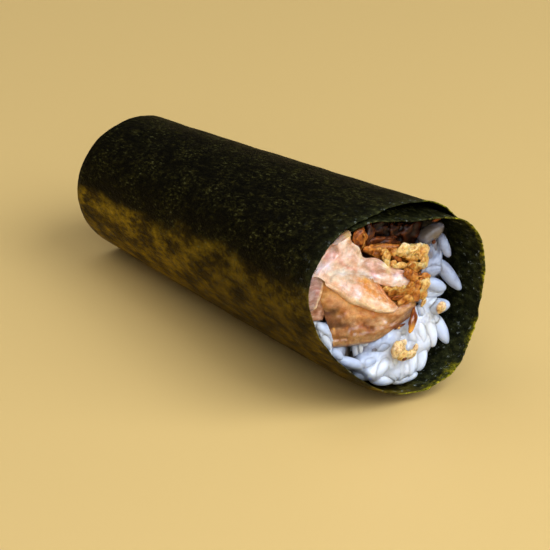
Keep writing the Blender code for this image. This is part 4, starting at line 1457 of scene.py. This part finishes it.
# The middle of the run of glaze, going down, as drawn on the face and forward.
GLAZE_RUN = [(6.2, 19.0, 1.2), (6.1, 17.0, 2.4), (5.8, 15.0, 3.2), (5.2, 12.9, 3.6)]
GLAZE_SIDES = (24, 30)          # round the run and along it
GLAZE_THICK = 0.8               # the run's thickness beside its breadth
GLAZE_LUMPS = (1.4, 0.25)       # how close and how high its lumps are


def add_glaze(mat):
    """A run of glaze down the rice under the fish, dark above and golden below."""
    bm = bmesh.new()
    tint = bm.verts.layers.float_color.new("tint")
    round_it, along_it = GLAZE_SIDES
    bmesh.ops.create_uvsphere(bm, u_segments=round_it, v_segments=along_it, radius=1)
    close, high = GLAZE_LUMPS
    dark, golden = Vector(linear("#6e2f08")), Vector(linear("#e2a03c"))
    for vert in bm.verts:
        down = (1 - vert.co.z) / 2
        x, z, forward = curve_at(GLAZE_RUN, down)
        girth = 0.7 + 0.5 * ease(down, 0, 0.5)
        lump = noise.noise(Vector((vert.co.x, vert.co.y, down * 3)) * close)
        out = forward + vert.co.y * GLAZE_THICK * girth
        x += vert.co.x * girth * (1 + high * lump)
        vert[tint] = dark.lerp(golden, clamp(ease(down, 0.55, 0.95) + 0.5 * max(lump, 0)))
        vert.co = behind(x * MM, z * MM, FACE_Y - out * MM) + CENTRING
    bmesh.ops.recalc_face_normals(bm, faces=bm.faces)
    piece("glaze_run", bm, mat)


# -------------------------------------------------------------- stage and light

TABLE_HALF = 3                  # half the table's width, in metres
# The lights: name, turn round the roll and height in degrees, distance and size in
# metres, power in watts and colour.
LIGHTS = [
    ("window", -62, 42, 1, 0.9, 14, "#eaf1ff"),
    ("fill", -120, 30, 1.2, 1, 9, "#f6f8ff"),
    ("back", 110, 60, 1.2, 1, 4, "#ffffff"),
]
ROOM_STRENGTH = 0.55


def add_stage():
    bm = bmesh.new()
    bmesh.ops.create_grid(bm, x_segments=1, y_segments=1, size=TABLE_HALF)
    placed("table", bm, pale_table())


def add_light(name, turn, height, distance, size, power, colour):
    """A soft square light aimed at the roll."""
    lamp = bpy.data.lights.new(name, "AREA")
    lamp.size = size
    lamp.energy = power
    lamp.color = linear(colour)[:3]
    obj = bpy.data.objects.new(name, lamp)
    turn, height = math.radians(turn), math.radians(height)
    away = Vector((math.cos(turn) * math.cos(height), math.sin(turn) * math.cos(height), math.sin(height)))
    obj.location = away * distance + Vector((0, 0, AIM_HEIGHT))
    obj.rotation_euler = away.to_track_quat("Z", "Y").to_euler()
    bpy.context.scene.collection.objects.link(obj)


def add_world():
    """A dim room that is pale at floor level and bright overhead."""
    world = bpy.data.worlds.new("studio")
    world.use_nodes = True
    tree = world.node_tree
    direction = add_node(tree, "TexCoord", output="Generated")
    upward = add_node(tree, "SeparateXYZ", {}, {0: direction}, "Z")
    sky = add_node(tree, "ValToRGB", {"stops": [
        (0.0, "#d8c9a8"), (0.06, "#b8ac94"), (0.12, "#3a3833"), (0.55, "#3c3d3f"), (0.9, "#c8d0dc")]},
        {"Fac": upward})
    plug(tree, tree.nodes["Background"], {"Color": sky, "Strength": ROOM_STRENGTH})
    bpy.context.scene.world = world


def add_camera():
    level = Vector((math.cos(math.radians(VIEW_TURN)), -math.sin(math.radians(VIEW_TURN)), 0))
    upright = level.cross(SIGHT)
    roll = math.radians(VIEW_ROLL)
    right = level * math.cos(roll) + upright * math.sin(roll)
    up = upright * math.cos(roll) - level * math.sin(roll)
    aim = Vector((0, 0, AIM_HEIGHT)) + CENTRING
    place = aim - SIGHT * VIEW_DISTANCE + right * VIEW_AIM[0] + up * VIEW_AIM[1]
    camera = bpy.data.cameras.new("camera")
    camera.lens = LENS
    camera.sensor_width = SENSOR
    camera.clip_start = 0.01
    obj = bpy.data.objects.new("camera", camera)
    turned = Matrix((right, up, -SIGHT)).transposed().to_4x4()
    obj.matrix_world = Matrix.Translation(place) @ turned
    bpy.context.scene.collection.objects.link(obj)
    bpy.context.scene.camera = obj


def main():
    add_camera()
    add_world()
    add_stage()
    for light in LIGHTS:
        add_light(*light)
    add_nori(toasted_nori())
    add_rice(cooked_rice())
    add_fish()
    add_onion()
    add_glaze(soy_glaze())
    bpy.context.scene.view_settings.view_transform = "Standard"


main()
